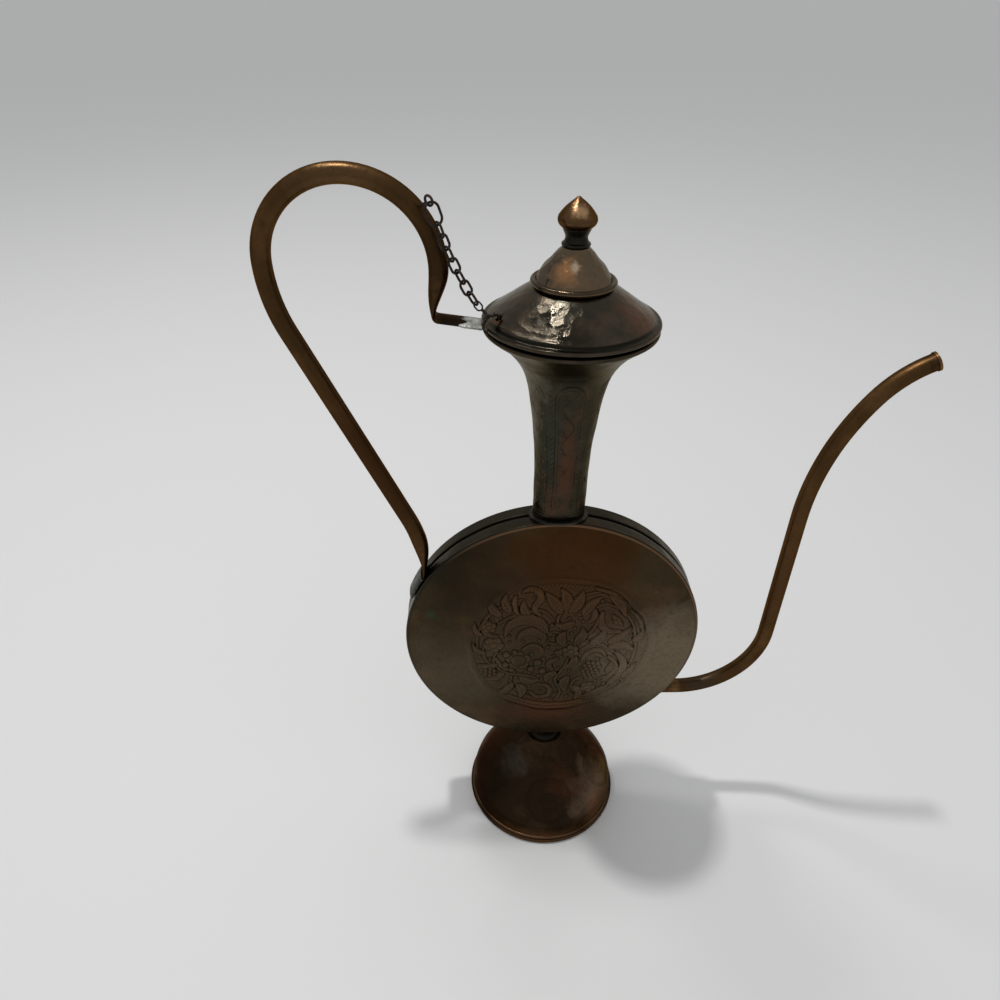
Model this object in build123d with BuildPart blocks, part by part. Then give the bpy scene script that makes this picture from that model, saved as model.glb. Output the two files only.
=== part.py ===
"""Copper ewer: flat round flask on a bell foot, flared neck, chained lid, tube handle and spout.

Frame: origin at the centre of the foot's underside, +Z up, +X towards the spout, -Y towards the front face.
All sizes are in millimetres.
"""
from build123d import *
from math import asin, atan2, cos, degrees, hypot, radians, sin, sqrt, tan
import os

os.makedirs("parts", exist_ok=True)

# Sheet and joints
wall = 1.2
seat_gap = 0.1
lift_gap = 0.3

# Foot
foot_radius = 53.6
foot_height = 60.0
foot_rim_height = 5.6
foot_rest_width = 3.0
foot_shoulder_inset = 3.2
foot_shoulder_height = 16.5
foot_waist_inset = 16.0
foot_waist_height = 37.0
foot_top_radius = 12.6

# Stem between foot and flask
stem_radius = 10.6
stem_height = 8.0
stem_waist = 0.8

# Flask: two dished plates soldered over a sleeve
body_radius = 93.0
body_depth = 22.0
seam_width = 3.0
seam_depth = 1.3
sleeve_width = 11.0
face_rise = 5.0
face_edge_radius = 2.0
medallion_radius = 62.0
medallion_bead = 1.1

# Neck
neck_base_width = 29.6
neck_base_depth = 17.0
neck_waist_radius = 15.2
neck_round_height = 34.0
neck_height = 113.4
neck_mid_radius = 18.1
neck_mid_drop = 45.4
neck_throat_radius = 24.0
neck_throat_drop = 20.4
mouth_radius = 43.0
mouth_bead = 1.0
mouth_dish_radius = 33.0
mouth_dish_drop = 8.3

# Lid
lid_gap = 1.35
lid_edge_bead = 1.1
lid_crease_inset = 3.0
lid_crease_rise = 3.2
lid_slope_radius = 30.6
lid_slope_rise = 9.8
lid_upper_radius = 24.5
lid_upper_rise = 14.0
lid_crown_radius = 19.4
lid_crown_rise = 17.0
lid_crown_slope = 30.0
lid_sheet = 1.0
lid_ring_bead = 1.5
lid_collar_radius = 34.0
dome_foot_radius = 18.8
dome_shoulder_radius = 15.4
dome_shoulder_rise = 6.4
dome_slope_radius = 11.7
dome_slope_rise = 10.8
dome_top_radius = 6.4
dome_height = 16.4
lid_hole_radius = 2.0
lid_hole_inset = 6.3
lid_hole_angle = -162.0

# Finial
finial_stem_radius = 5.7
finial_stem_foot = 6.7
finial_stem_height = 8.4
finial_cap_radius = 8.8
finial_cap_bevel = 4.2
finial_cap_height = 9.4
finial_tip_radius = 1.4

# Handle and spout tube
tube_radius = 4.75
tube_wall = 1.0
strap_width = 13.6
strap_thickness = 2.2
pinch_steps = 6

# Handle
handle_tab_length = 21.0
handle_fold_radius = 2.8
handle_tab_slope = 7.8
handle_rise = 71.0
handle_right_radius = 42.5
handle_left_radius = 39.5
handle_side_radius = 83.0
handle_foot_angle = 148.5
handle_foot_wrap = 9.0
handle_foot_bend = 8.0
handle_foot_sweep = 89.0
handle_foot_pinch = 24.0
handle_leg_lean = 3.3
handle_tab_rise = 1.6

# Spout
spout_drop = 56.0
spout_run = 90.0
spout_bend_radius = 52.0
spout_rise = 93.0
spout_lower_radius = 154.0
spout_lower_turn = 16.0
spout_middle_radius = 125.0
spout_middle_turn = 18.0
spout_upper_radius = 60.0
spout_upper_turn = 31.0
spout_lip = 0.5
spout_lip_length = 1.4

# Solder
solder_width = 2.2
solder_height = 1.6
tab_solder_thickness = 0.9
tab_solder_length = 10.0

# Chain: it hangs in an upright plane from the handle's eye to the wire on the lid
chain_wire = 1.2
chain_play = 0.2
chain_top_inset = 2.2
chain_top_side = 7.6
chain_top_drop = 11.2
chain_turn = -8.5
ring_length = 8.7
ring_width = 6.4
ring_angle = 71.0
ring_twist = -30.0
link_count = 7
link_pitch = 5.65
link_width = 4.6
link_first_angle = 71.0
link_last_angle = 58.0
link_twist = 45.0
eye_radius = 2.2

# Wire that ties the chain to the lid, its rim loop given as steps outward and up from the mouth's edge
lid_wire_radius = 0.4
rim_wire_bend = 1.0
rim_wire_steps = (
    (-5.6, 9.8),
    (-5.6, 5.6),
    (-2.4, 3.5),
    (0.4, 2.6),
    (2.0, 3.5),
    (2.2, 6.8),
    (-0.4, 10.6),
    (-4.6, 11.4),
)
wire_neck_inset = 2.8
wire_neck_side = 13.0
wire_neck_rise = 10.3
wire_neck_radius = 0.75
lid_loop_length = 4.6
lid_loop_width = 3.4
lid_loop_twist = 45.0

# Heights and radii that follow
body_z = foot_height + stem_height + body_radius
body_top = body_z + body_radius
neck_base_z = body_top
mouth_z = neck_base_z + neck_height
bead_z = mouth_z + mouth_bead
lid_edge_z = bead_z + mouth_bead + lid_gap + lid_edge_bead
half_depth = body_depth / 2
strap_radius = strap_width / 2
strap_half = strap_thickness / 2
body_axis = Axis((0, 0, body_z), (0, 1, 0))


def save(part, name):
    """Label a finished piece and write its file."""
    part.part.label = name
    export_step(part.part, f"parts/{name}.step")


def inset(points, amount):
    """Points of an outline moved by an amount to the left of its direction."""
    moved = []
    last = len(points) - 1
    for i, (x, y) in enumerate(points):
        before = points[max(i - 1, 0)]
        after = points[min(i + 1, last)]
        length = hypot(after[0] - before[0], after[1] - before[1])
        across = ((before[1] - after[1]) / length, (after[0] - before[0]) / length)
        moved.append((x + amount * across[0], y + amount * across[1]))
    return moved


def sheet_outline(points, thickness):
    """Closed outline of a sheet: a smooth curve through the points and its inset copy."""
    face = Spline(*points)
    back = Spline(*inset(points, thickness))
    Line(face @ 0, back @ 0)
    Line(face @ 1, back @ 1)


def body_cylinder(radius):
    """Solid cylinder on the flask's axis, used to fit pieces to its rim."""
    base = Plane((0, -body_depth * 1.5, body_z), z_dir=(0, 1, 0))
    return Solid.make_cylinder(radius, body_depth * 3, base)


# Foot: one sheet with a rolled rim, open underneath
foot_face = [
    (foot_radius - 1.2, foot_rim_height + 0.4),
    (foot_radius - foot_shoulder_inset, foot_shoulder_height),
    (foot_radius - foot_waist_inset, foot_waist_height),
    (foot_top_radius, foot_height),
]
with BuildPart() as foot_bell:
    with BuildSketch(Plane.XZ):
        with BuildLine():
            sheet_outline(foot_face, wall)
        make_face()
        with BuildLine():
            inner = foot_radius - foot_rest_width
            bottom = Line((inner, 0), (foot_radius - 1.2, 0))
            side = ThreePointArc(bottom @ 1, (foot_radius, foot_rim_height / 2), foot_face[0])
            Polyline(side @ 1, (inner, foot_face[0][1]), (inner, 0))
        make_face()
    revolve(axis=Axis.Z)
    with BuildSketch(Plane.XY.offset(foot_height - wall)):
        Circle(foot_top_radius)
        Circle(stem_radius - wall, mode=Mode.SUBTRACT)
    extrude(amount=wall)
save(foot_bell, "foot_bell")

# Stem: a short waisted tube on the foot, cut to the flask's rim
with BuildPart() as foot_stem:
    with BuildSketch(Plane.XZ):
        with BuildLine():
            top = foot_height + stem_height * 2
            waist = ThreePointArc(
                (stem_radius, foot_height),
                (stem_radius - stem_waist, foot_height + stem_height / 2),
                (stem_radius, foot_height + stem_height),
            )
            inner = stem_radius - stem_waist - wall
            Polyline(waist @ 1, (stem_radius, top), (inner, top), (inner, foot_height), waist @ 0)
        make_face()
    revolve(axis=Axis.Z)
    add(body_cylinder(body_radius + seat_gap), mode=Mode.SUBTRACT)
    stray = foot_stem.part.solids().sort_by(Axis.Z)[1:]
    for piece in stray:
        add(piece, mode=Mode.SUBTRACT)
save(foot_stem, "foot_stem")


def cut_passages():
    """Holes through the rim where the neck and the spout open into the flask."""
    with BuildSketch(Plane.XY.offset(body_top - body_radius / 4)) as neck_hole:
        Ellipse(neck_base_width / 2 - wall, neck_base_depth / 2 - wall)
    extrude(neck_hole.sketch, amount=body_radius / 2, mode=Mode.SUBTRACT)
    with BuildSketch(Plane.YZ.offset(body_radius / 2)) as spout_hole:
        with Locations((0, body_z - spout_drop)):
            Circle(tube_radius - tube_wall)
    extrude(spout_hole.sketch, amount=body_radius, mode=Mode.SUBTRACT)


def body_shell(side, with_medallion):
    """One dished plate of the flask; side is -1 for the front and 1 for the back."""
    section = Plane((0, 0, body_z), x_dir=(0, 0, 1), z_dir=(-side, 0, 0))
    seam = seam_width / 2
    edge = face_edge_radius
    bow = edge * (1 - sqrt(0.5))
    with BuildPart() as shell:
        with BuildSketch(section):
            for offset_in, mode in ((0, Mode.ADD), (wall, Mode.SUBTRACT)):
                rim = body_radius - offset_in
                front = half_depth - offset_in
                with BuildLine():
                    rise = TangentArc((0, front + face_rise), (rim - edge, front), tangent=(1, 0))
                    corner = ThreePointArc(rise @ 1, (rim - bow, front - bow), (rim, front - edge))
                    Polyline(corner @ 1, (rim, seam), (0, seam), rise @ 0)
                make_face(mode=mode)
            if with_medallion:
                curve = (medallion_radius / (body_radius - edge)) ** 2
                with Locations((medallion_radius, half_depth + face_rise * (1 - curve) - wall / 2)):
                    Circle(medallion_bead)
        revolve(axis=body_axis)
        cut_passages()
    return shell


body_front = body_shell(-1, True)
save(body_front, "body_front")
body_back = body_shell(1, False)
save(body_back, "body_back")

# Sleeve inside the rim that shows as the sunk seam
with BuildPart() as body_sleeve:
    sleeve_radius = body_radius - max(seam_depth, wall + seat_gap)
    with BuildSketch(Plane.XZ.offset(-sleeve_width / 2)):
        with Locations((0, body_z)):
            Circle(sleeve_radius)
            Circle(sleeve_radius - wall, mode=Mode.SUBTRACT)
    extrude(amount=sleeve_width)
    cut_passages()
save(body_sleeve, "body_sleeve")

# Neck: oval where it meets the rim, round above, flared to a wide mouth with a rolled edge
round_z = neck_base_z + neck_round_height
neck_face = [
    (neck_waist_radius, round_z - wall),
    (neck_mid_radius, mouth_z - neck_mid_drop),
    (neck_throat_radius, mouth_z - neck_throat_drop),
    (mouth_dish_radius, mouth_z - mouth_dish_drop),
    (mouth_radius, mouth_z),
]
root_z = neck_base_z - neck_base_width / 5


def neck_foot(grow):
    """Solid between the oval foot of the neck and its round part, larger than the sheet by an amount."""
    middle = (root_z + round_z) / 2
    half_width = neck_base_width / 2 + grow
    half_base = neck_base_depth / 2 + grow
    half_round = neck_waist_radius + grow
    sections = [
        Plane.XY.offset(root_z) * Ellipse(half_width, half_base),
        Plane.XY.offset(middle) * Ellipse((half_width + half_round) / 2, (half_base + 2 * half_round) / 3),
        Plane.XY.offset(round_z) * Circle(half_round),
    ]
    return loft(sections)


neck_outside = neck_foot(0)
neck_inside = neck_foot(-wall)
with BuildPart() as neck_tube:
    add(neck_outside)
    add(neck_inside, mode=Mode.SUBTRACT)
    with BuildSketch(Plane.XZ):
        with BuildLine():
            sheet_outline(neck_face, wall)
        make_face()
        with Locations((mouth_radius - mouth_bead / 4, bead_z)):
            Circle(mouth_bead)
    revolve(axis=Axis.Z)
    add(body_cylinder(body_radius + seat_gap), mode=Mode.SUBTRACT)
save(neck_tube, "neck_tube")


# Solder: a ring round a piece where it stands on the flask's rim
def solder_collar(blank, clear):
    """Ring of solder between two like shapes, its foot shaped to the flask's rim."""
    with BuildPart() as collar:
        add(blank)
        add(body_cylinder(body_radius + solder_height), mode=Mode.INTERSECT)
        add(body_cylinder(body_radius + seat_gap), mode=Mode.SUBTRACT)
        add(clear, mode=Mode.SUBTRACT)
    return collar


neck_solder = solder_collar(neck_foot(solder_width), neck_foot(seat_gap))
save(neck_solder, "neck_solder")

# Spout: a level root, a quarter bend, an upright run and three widening arcs out to the lip
spout_z = body_z - spout_drop


def end_of(edge):
    """End point of an edge in the upright plane of handle and spout."""
    point = edge @ 1
    return (point.X, point.Z)


def unit(heading):
    """Direction in the upright plane at an angle above level."""
    return (cos(radians(heading)), sin(radians(heading)))


def across(point, heading):
    """Plane square to a heading at a point of the upright plane, its x direction along Y."""
    way = (cos(radians(heading)), 0, sin(radians(heading)))
    return Plane((point[0], 0, point[1]), x_dir=(0, 1, 0), z_dir=way)


spout_root = (body_radius / 2, spout_z)
with BuildLine(Plane.XZ) as spout_path:
    piece = Line(spout_root, (spout_run, spout_z))
    piece = JernArc(end_of(piece), unit(0), spout_bend_radius, 90)
    x, z = end_of(piece)
    piece = Line((x, z), (x, z + spout_rise))
    heading = 90.0
    for radius, turn in (
        (spout_lower_radius, spout_lower_turn),
        (spout_middle_radius, spout_middle_turn),
        (spout_upper_radius, spout_upper_turn),
    ):
        piece = JernArc(end_of(piece), unit(heading), radius, -turn)
        heading -= turn
spout_tip = end_of(piece)
with BuildPart() as spout_tube:
    with BuildSketch(across(spout_root, 0)) as tube_section:
        Circle(tube_radius)
    sweep(tube_section.sketch, path=spout_path.wire())
    with BuildSketch(across(spout_tip, heading)) as lip_section:
        Circle(tube_radius + spout_lip)
    extrude(lip_section.sketch, amount=spout_lip_length)
    with BuildSketch(across(spout_root, 0)) as bore_section:
        Circle(tube_radius - tube_wall)
    sweep(bore_section.sketch, path=spout_path.wire(), mode=Mode.SUBTRACT)
    with BuildSketch(across(spout_tip, heading)) as lip_bore:
        Circle(tube_radius - tube_wall)
    extrude(lip_bore.sketch, amount=spout_lip_length, mode=Mode.SUBTRACT)
    add(body_cylinder(body_radius + seat_gap), mode=Mode.SUBTRACT)
save(spout_tube, "spout_tube")


def level_rod(radius):
    """Solid round the spout's root."""
    root = Plane((body_radius / 2, 0, spout_z), z_dir=(1, 0, 0))
    return Solid.make_cylinder(radius, body_radius / 2, root)


spout_solder = solder_collar(level_rod(tube_radius + solder_width), level_rod(tube_radius + seat_gap))
save(spout_solder, "spout_solder")

# Handle: a tube pinched flat at both ends, wrapped on the flask's rim below and folded to the mouth above
leg_x = -(mouth_radius + handle_tab_length)
handle_top = mouth_z + handle_rise
leg_z = handle_top - handle_right_radius
left_z = handle_top - handle_left_radius
left_x = leg_x - handle_right_radius - handle_left_radius
strap_path_radius = body_radius + seat_gap + strap_half
rim_point = (
    strap_path_radius * cos(radians(handle_foot_angle)),
    body_z + strap_path_radius * sin(radians(handle_foot_angle)),
)


def after_arc(point, heading, radius, turn):
    """End of an arc that starts at a point with a heading and turns left."""
    end = radians(heading + turn)
    start = radians(heading)
    return (point[0] + radius * (sin(end) - sin(start)), point[1] + radius * (cos(start) - cos(end)))


foot_heading = handle_foot_angle - 90
upright = after_arc(rim_point, foot_heading, handle_foot_bend, 90 - foot_heading)
run_heading = 115.0
for _ in range(20):
    run_foot = after_arc(upright, 90, handle_foot_sweep, run_heading - 90)
    away_x = left_x + handle_side_radius - run_foot[0]
    away_z = left_z - run_foot[1]
    reach = hypot(away_x, away_z)
    run_heading = degrees(atan2(away_z, away_x) + asin(handle_side_radius / reach))
run_length = sqrt(reach**2 - handle_side_radius**2)
pinch_turn = degrees(handle_foot_pinch / handle_foot_sweep)


def pinched(plane, t):
    """Section of the pinched tube: a flat strap at 0 and the round tube at 1."""
    half_width = strap_radius + (tube_radius - strap_radius) * t
    half_thickness = strap_half + (tube_radius - strap_half) * sin(radians(90 * t))
    return plane * Ellipse(half_width, half_thickness)


# Lower end: strap on the rim, a bend to upright, and the widening stretch
with BuildLine(Plane.XZ) as foot_path:
    CenterArc((0, body_z), strap_path_radius, handle_foot_angle + handle_foot_wrap, -handle_foot_wrap)
    JernArc(rim_point, unit(foot_heading), handle_foot_bend, 90 - foot_heading)
foot_sections = []
for i in range(pinch_steps + 1):
    turn = pinch_turn * i / pinch_steps
    place = across(after_arc(upright, 90, handle_foot_sweep, turn), 90 + turn)
    foot_sections.append(pinched(place, i / pinch_steps))

# Middle: the round tube from the lower pinch over the top to the upper pinch
with BuildLine(Plane.XZ) as tube_path:
    start = after_arc(upright, 90, handle_foot_sweep, pinch_turn)
    piece = JernArc(start, unit(90 + pinch_turn), handle_foot_sweep, run_heading - 90 - pinch_turn)
    x, z = end_of(piece)
    piece = Line((x, z), (x + run_length * unit(run_heading)[0], z + run_length * unit(run_heading)[1]))
    piece = JernArc(end_of(piece), unit(run_heading), handle_side_radius, 90 - run_heading)
    piece = JernArc(end_of(piece), unit(90), handle_left_radius, -90)
    piece = JernArc(end_of(piece), unit(0), handle_right_radius, -90)
tube_start = across(start, 90 + pinch_turn)

# Upper end: the narrowing leg, the fold and the tab that meets the mouth
tab_end = (-mouth_radius, mouth_z + handle_tab_rise)
fold_x = leg_x - handle_leg_lean
fold_end_x = fold_x + handle_fold_radius * (1 - sin(radians(handle_tab_slope)))
fold_end_z = tab_end[1] + (tab_end[0] - fold_end_x) * tan(radians(handle_tab_slope))
fold_z = fold_end_z + handle_fold_radius * cos(radians(handle_tab_slope))
leg_sections = []
for i in range(pinch_steps + 1):
    t = i / pinch_steps
    lean = handle_leg_lean * (3 * t**2 - 2 * t**3)
    place = across((leg_x - lean, leg_z + (fold_z - leg_z) * t), -90)
    leg_sections.append(pinched(place, 1 - t))
with BuildLine(Plane.XZ) as tab_path:
    piece = JernArc((fold_x, fold_z), unit(-90), handle_fold_radius, 90 - handle_tab_slope)
    Line(end_of(piece), tab_end)

mouth_plug = Solid.make_cylinder(
    mouth_radius + mouth_bead * 3 / 4 + lift_gap, body_depth, Plane.XY.offset(mouth_z - body_depth / 2)
)
with BuildPart() as handle_tube:
    with BuildSketch(tube_start) as tube_section:
        Circle(tube_radius)
    sweep(tube_section.sketch, path=tube_path.wire())
    with BuildSketch(tube_start) as bore_section:
        Circle(tube_radius - tube_wall)
    sweep(bore_section.sketch, path=tube_path.wire(), mode=Mode.SUBTRACT)
    loft(sections=foot_sections)
    loft(sections=leg_sections)
    sweep(foot_sections[0], path=foot_path.wire())
    sweep(leg_sections[-1], path=tab_path.wire())
    add(mouth_plug, mode=Mode.SUBTRACT)
save(handle_tube, "handle_tube")


def swept(section, path):
    """Solid of one section along a path, used to clear room for a piece."""
    with BuildPart() as solid:
        sweep(section, path=path.wire())
    return solid.part


def oval(plane, grow_width, grow_thickness):
    """Section of the flat strap, larger by two amounts."""
    return plane * Ellipse(strap_radius + grow_width, strap_half + grow_thickness)


# Solder over the strap where it lies on the flask's rim
strap_start_angle = handle_foot_angle + handle_foot_wrap
pad_angle = strap_start_angle + 1
pad_start = (
    strap_path_radius * cos(radians(pad_angle)),
    body_z + strap_path_radius * sin(radians(pad_angle)),
)
with BuildLine(Plane.XZ) as pad_path:
    CenterArc((0, body_z), strap_path_radius, pad_angle, handle_foot_angle - pad_angle)
pad_plane = across(pad_start, pad_angle - 90)
pad_blank = swept(oval(pad_plane, solder_width / 2, solder_width / 3), pad_path)
pad_room = swept(oval(pad_plane, seat_gap, seat_gap), pad_path)
with BuildPart() as handle_bottom_solder:
    add(pad_blank)
    add(pad_room, mode=Mode.SUBTRACT)
    add(body_cylinder(body_radius + seat_gap), mode=Mode.SUBTRACT)
save(handle_bottom_solder, "handle_bottom_solder")

# Solder under the tab where it meets the mouth's rolled edge
with BuildPart() as handle_top_solder:
    with BuildSketch(across(tab_end, 180 - handle_tab_slope)) as pad:
        with Locations((0, strap_half + seat_gap + tab_solder_thickness / 2)):
            RectangleRounded(strap_width, tab_solder_thickness, tab_solder_thickness / 3)
    extrude(pad.sketch, amount=tab_solder_length)
    add(mouth_plug, mode=Mode.SUBTRACT)
save(handle_top_solder, "handle_top_solder")

# Chain: hinge points in one upright plane, from the handle's eye down to the wire on the lid
level = Vector(cos(radians(chain_turn)), sin(radians(chain_turn)), 0)
chain_normal = level.cross(Vector(0, 0, 1))
chain_top = Vector(leg_x - chain_top_inset, -chain_top_side, handle_top - chain_top_drop)
wire_radius = chain_wire / 2
wire_step = chain_wire + chain_play


def hanging(angle):
    """Direction in the chain's plane at an angle below level."""
    return level * cos(radians(angle)) - Vector(0, 0, 1) * sin(radians(angle))


def twisted_plane(middle, direction, twist):
    """Plane of a link: its x direction along the link, turned from the chain's plane about it."""
    across_link = chain_normal.rotate(Axis((0, 0, 0), direction), twist)
    return Plane(middle, x_dir=direction, z_dir=across_link)


def wire_loop(plane, length, width, radius):
    """Closed oval of round wire about a plane's origin, between wire centres."""
    end = width / 2
    half = length / 2 - end
    with BuildLine(plane) as path:
        Line((-half, -end), (half, -end))
        ThreePointArc((half, -end), (half + end, 0), (half, end))
        Line((half, end), (-half, end))
        ThreePointArc((-half, end), (-half - end, 0), (-half, -end))
    loop = path.wire()
    with BuildPart() as oval_loop:
        with BuildSketch(Plane(loop @ 0, z_dir=loop % 0)) as section:
            Circle(radius)
        sweep(section.sketch, path=loop)
    return oval_loop


ring_way = hanging(ring_angle)
chain_ring = wire_loop(
    twisted_plane(chain_top + ring_way * (ring_length / 2), ring_way, ring_twist),
    ring_length + wire_step,
    ring_width,
    wire_radius,
)
save(chain_ring, "chain_ring")

hinge_points = [chain_top, chain_top + ring_way * ring_length]
for i in range(link_count):
    angle = link_first_angle + (link_last_angle - link_first_angle) * i / (link_count - 1)
    way = hanging(angle)
    twist = link_twist if i % 2 == 0 else -link_twist
    middle = hinge_points[-1] + way * (link_pitch / 2)
    link = wire_loop(twisted_plane(middle, way, twist), link_pitch + wire_step, link_width, wire_radius)
    save(link, f"chain_link_{i + 1}")
    hinge_points.append(hinge_points[-1] + way * link_pitch)
for i, point in enumerate(hinge_points):
    print(f"chain hinge {i}: {point.X:.3f} {point.Y:.3f} {point.Z:.3f}")
print(f"chain normal {chain_normal.X:.6f} {chain_normal.Y:.6f}")

# Eye: a loop of wire on a short shank, fixed to the outside of the handle's bend
bend_centre = Vector(leg_x - handle_right_radius, 0, leg_z)
eye_middle = chain_top + ring_way * (wire_step / 2 - eye_radius)
outward = eye_middle - bend_centre
outward = Vector(outward.X, 0, outward.Z).normalized()
tube_point = bend_centre + outward * handle_right_radius
shank_way = (tube_point - eye_middle).normalized()
eye_normal = ring_way.cross(shank_way).normalized()
shank_length = (tube_point - eye_middle).length - eye_radius
with BuildPart() as chain_eye:
    add(Solid.make_torus(eye_radius, wire_radius, Plane(eye_middle, x_dir=ring_way, z_dir=eye_normal)))
    with BuildSketch(Plane(eye_middle + shank_way * eye_radius, z_dir=shank_way)) as shank:
        Circle(wire_radius)
    extrude(shank.sketch, amount=shank_length)
    bend_plane = Plane(bend_centre, x_dir=(1, 0, 0), z_dir=(0, -1, 0))
    bend_room = Solid.make_torus(handle_right_radius, tube_radius + seat_gap, bend_plane)
    add(bend_room, mode=Mode.SUBTRACT)
save(chain_eye, "chain_eye")

# Lid: a hammered sheet with a rolled edge, which stands on a collar inside the mouth
crease = (mouth_radius - lid_crease_inset, lid_edge_z + lid_crease_rise)
crown = (lid_crown_radius, lid_edge_z + lid_crown_rise)
lid_face = [
    crease,
    (lid_slope_radius, lid_edge_z + lid_slope_rise),
    (lid_upper_radius, lid_edge_z + lid_upper_rise),
    crown,
]
hole_x = (mouth_radius + lid_edge_bead / 2 - lid_hole_inset) * cos(radians(lid_hole_angle))
hole_y = (mouth_radius + lid_edge_bead / 2 - lid_hole_inset) * sin(radians(lid_hole_angle))
with BuildPart() as lid_skirt:
    with BuildSketch(Plane.XZ):
        with BuildLine():
            sheet_outline(lid_face, lid_sheet)
        make_face()
        with BuildLine():
            flange = [(mouth_radius, lid_edge_z), crease]
            Polyline(*flange, *reversed(inset(flange, lid_sheet)), close=True)
        make_face()
        with BuildLine():
            Polyline(crease, inset(flange, lid_sheet)[1], inset(lid_face, lid_sheet)[0], close=True)
        make_face()
        with Locations((mouth_radius, lid_edge_z)):
            Circle(lid_edge_bead)
    revolve(axis=Axis.Z)
    with BuildSketch(Plane.XY.offset(lid_edge_z)) as hole:
        with Locations((hole_x, hole_y)):
            Circle(lid_hole_radius)
    extrude(hole.sketch, amount=lid_upper_rise, mode=Mode.SUBTRACT)
save(lid_skirt, "lid_skirt")

# Collar of the lid: its lower edge follows the dish of the mouth
with BuildPart() as lid_collar:
    with BuildSketch(Plane.XZ):
        with Locations((lid_collar_radius - wall / 2, mouth_z)):
            Rectangle(wall, mouth_radius)
        with BuildLine():
            under = Spline(*inset(lid_face, lid_sheet + seat_gap))
            over = lid_edge_z * 2
            Polyline(under @ 1, (lid_crown_radius, over), (mouth_radius, over), under @ 0)
        make_face(mode=Mode.SUBTRACT)
        with BuildLine():
            dish = Spline(*inset(neck_face, wall + lift_gap))
            Polyline(dish @ 1, (mouth_radius, neck_base_z), (0, neck_base_z), dish @ 0)
        make_face(mode=Mode.SUBTRACT)
    revolve(axis=Axis.Z)
save(lid_collar, "lid_collar")

# Dome: a rolled ring on the crown and a thin dome closed by a small flat top
dome_bead_z = crown[1] + (lid_ring_bead + seat_gap) / cos(radians(lid_crown_slope))
dome_z = dome_bead_z + dome_height
dome_face = [
    (dome_foot_radius, dome_bead_z + lid_ring_bead / 3),
    (dome_shoulder_radius, dome_bead_z + dome_shoulder_rise),
    (dome_slope_radius, dome_bead_z + dome_slope_rise),
    (dome_top_radius, dome_z),
]
with BuildPart() as lid_dome:
    with BuildSketch(Plane.XZ):
        with BuildLine():
            sheet_outline(dome_face, lid_sheet)
        make_face()
        with Locations((lid_crown_radius, dome_bead_z)):
            Circle(lid_ring_bead)
    revolve(axis=Axis.Z)
    with BuildSketch(Plane.XY.offset(dome_z - lid_sheet)) as top_plate:
        Circle(dome_top_radius)
    extrude(top_plate.sketch, amount=lid_sheet)
save(lid_dome, "lid_dome")

# Finial: a waisted stem and a pointed cap
cap_z = dome_z + finial_stem_height
with BuildPart() as finial_stem:
    with BuildSketch(Plane.XZ):
        with BuildLine():
            waist = ThreePointArc(
                (finial_stem_foot, dome_z),
                (finial_stem_radius, dome_z + finial_stem_height / 2),
                (finial_stem_foot, cap_z),
            )
            Polyline(waist @ 1, (0, cap_z), (0, dome_z), waist @ 0)
        make_face()
    revolve(axis=Axis.Z)
save(finial_stem, "finial_stem")
with BuildPart() as finial_cap:
    with BuildSketch(Plane.XZ):
        with BuildLine():
            widest = (finial_cap_radius, cap_z + finial_cap_bevel)
            shoulder = (finial_cap_radius * 2 / 3, cap_z + finial_cap_bevel + finial_cap_height * 2 / 5)
            tip_z = cap_z + finial_cap_bevel + finial_cap_height
            cap_foot = (finial_stem_foot + lid_sheet, cap_z)
            tip_edge = (finial_tip_radius, tip_z - finial_tip_radius / 2)
            Spline(widest, shoulder, tip_edge)
            Polyline(tip_edge, (0, tip_z), (0, cap_z), cap_foot, widest)
        make_face()
    revolve(axis=Axis.Z)
save(finial_cap, "finial_cap")

# Wire on the lid: a loop through the hole and round the rim, a twisted neck, and a loop for the last link
wire_plane_x = Vector(cos(radians(lid_hole_angle)), sin(radians(lid_hole_angle)), 0)
wire_plane = Plane((0, 0, 0), x_dir=wire_plane_x, z_dir=wire_plane_x.cross(Vector(0, 0, 1)))
rim_wire_points = [(mouth_radius + out, mouth_z + up) for out, up in rim_wire_steps]
with BuildLine(wire_plane) as rim_path:
    FilletPolyline(*rim_wire_points, radius=rim_wire_bend, close=True)
rim_loop = rim_path.wire()
link_end = hinge_points[-1]
wire_neck_start = Vector(wire_neck_inset - mouth_radius, -wire_neck_side, mouth_z + wire_neck_rise)
loop_way = (link_end - wire_neck_start).normalized()
loop_far = link_end + loop_way * (wire_step / 2)
loop_middle = loop_far - loop_way * (lid_loop_length / 2)
neck_end = loop_far - loop_way * lid_loop_length
loop_normal = chain_normal.rotate(Axis((0, 0, 0), loop_way), lid_loop_twist)
loop_plane = Plane(loop_middle, x_dir=loop_way, z_dir=loop_normal)
link_loop = wire_loop(loop_plane, lid_loop_length, lid_loop_width, lid_wire_radius)
neck_way = neck_end - wire_neck_start
with BuildPart() as lid_wire:
    with BuildSketch(Plane(rim_loop @ 0, z_dir=rim_loop % 0)) as section:
        Circle(lid_wire_radius)
    sweep(section.sketch, path=rim_loop)
    with BuildSketch(Plane(wire_neck_start, z_dir=neck_way.normalized())) as twist:
        Circle(wire_neck_radius)
    extrude(twist.sketch, amount=neck_way.length)
    add(link_loop)
save(lid_wire, "lid_wire")
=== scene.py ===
"""Looks of the copper ewer: embossed flask, hammered lid, aged metal, chain, floor, light and camera.

Shapes are worked out in millimetres in the part's frame and turned into metres when a mesh is made. Its
origin is the foot's centre on the floor, with +Z up, +X to the spout and -Y out of the front face.
"""
from math import cos, hypot, pi, radians, sin

import bpy
import numpy as np
from mathutils import Matrix, Vector, noise


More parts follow.
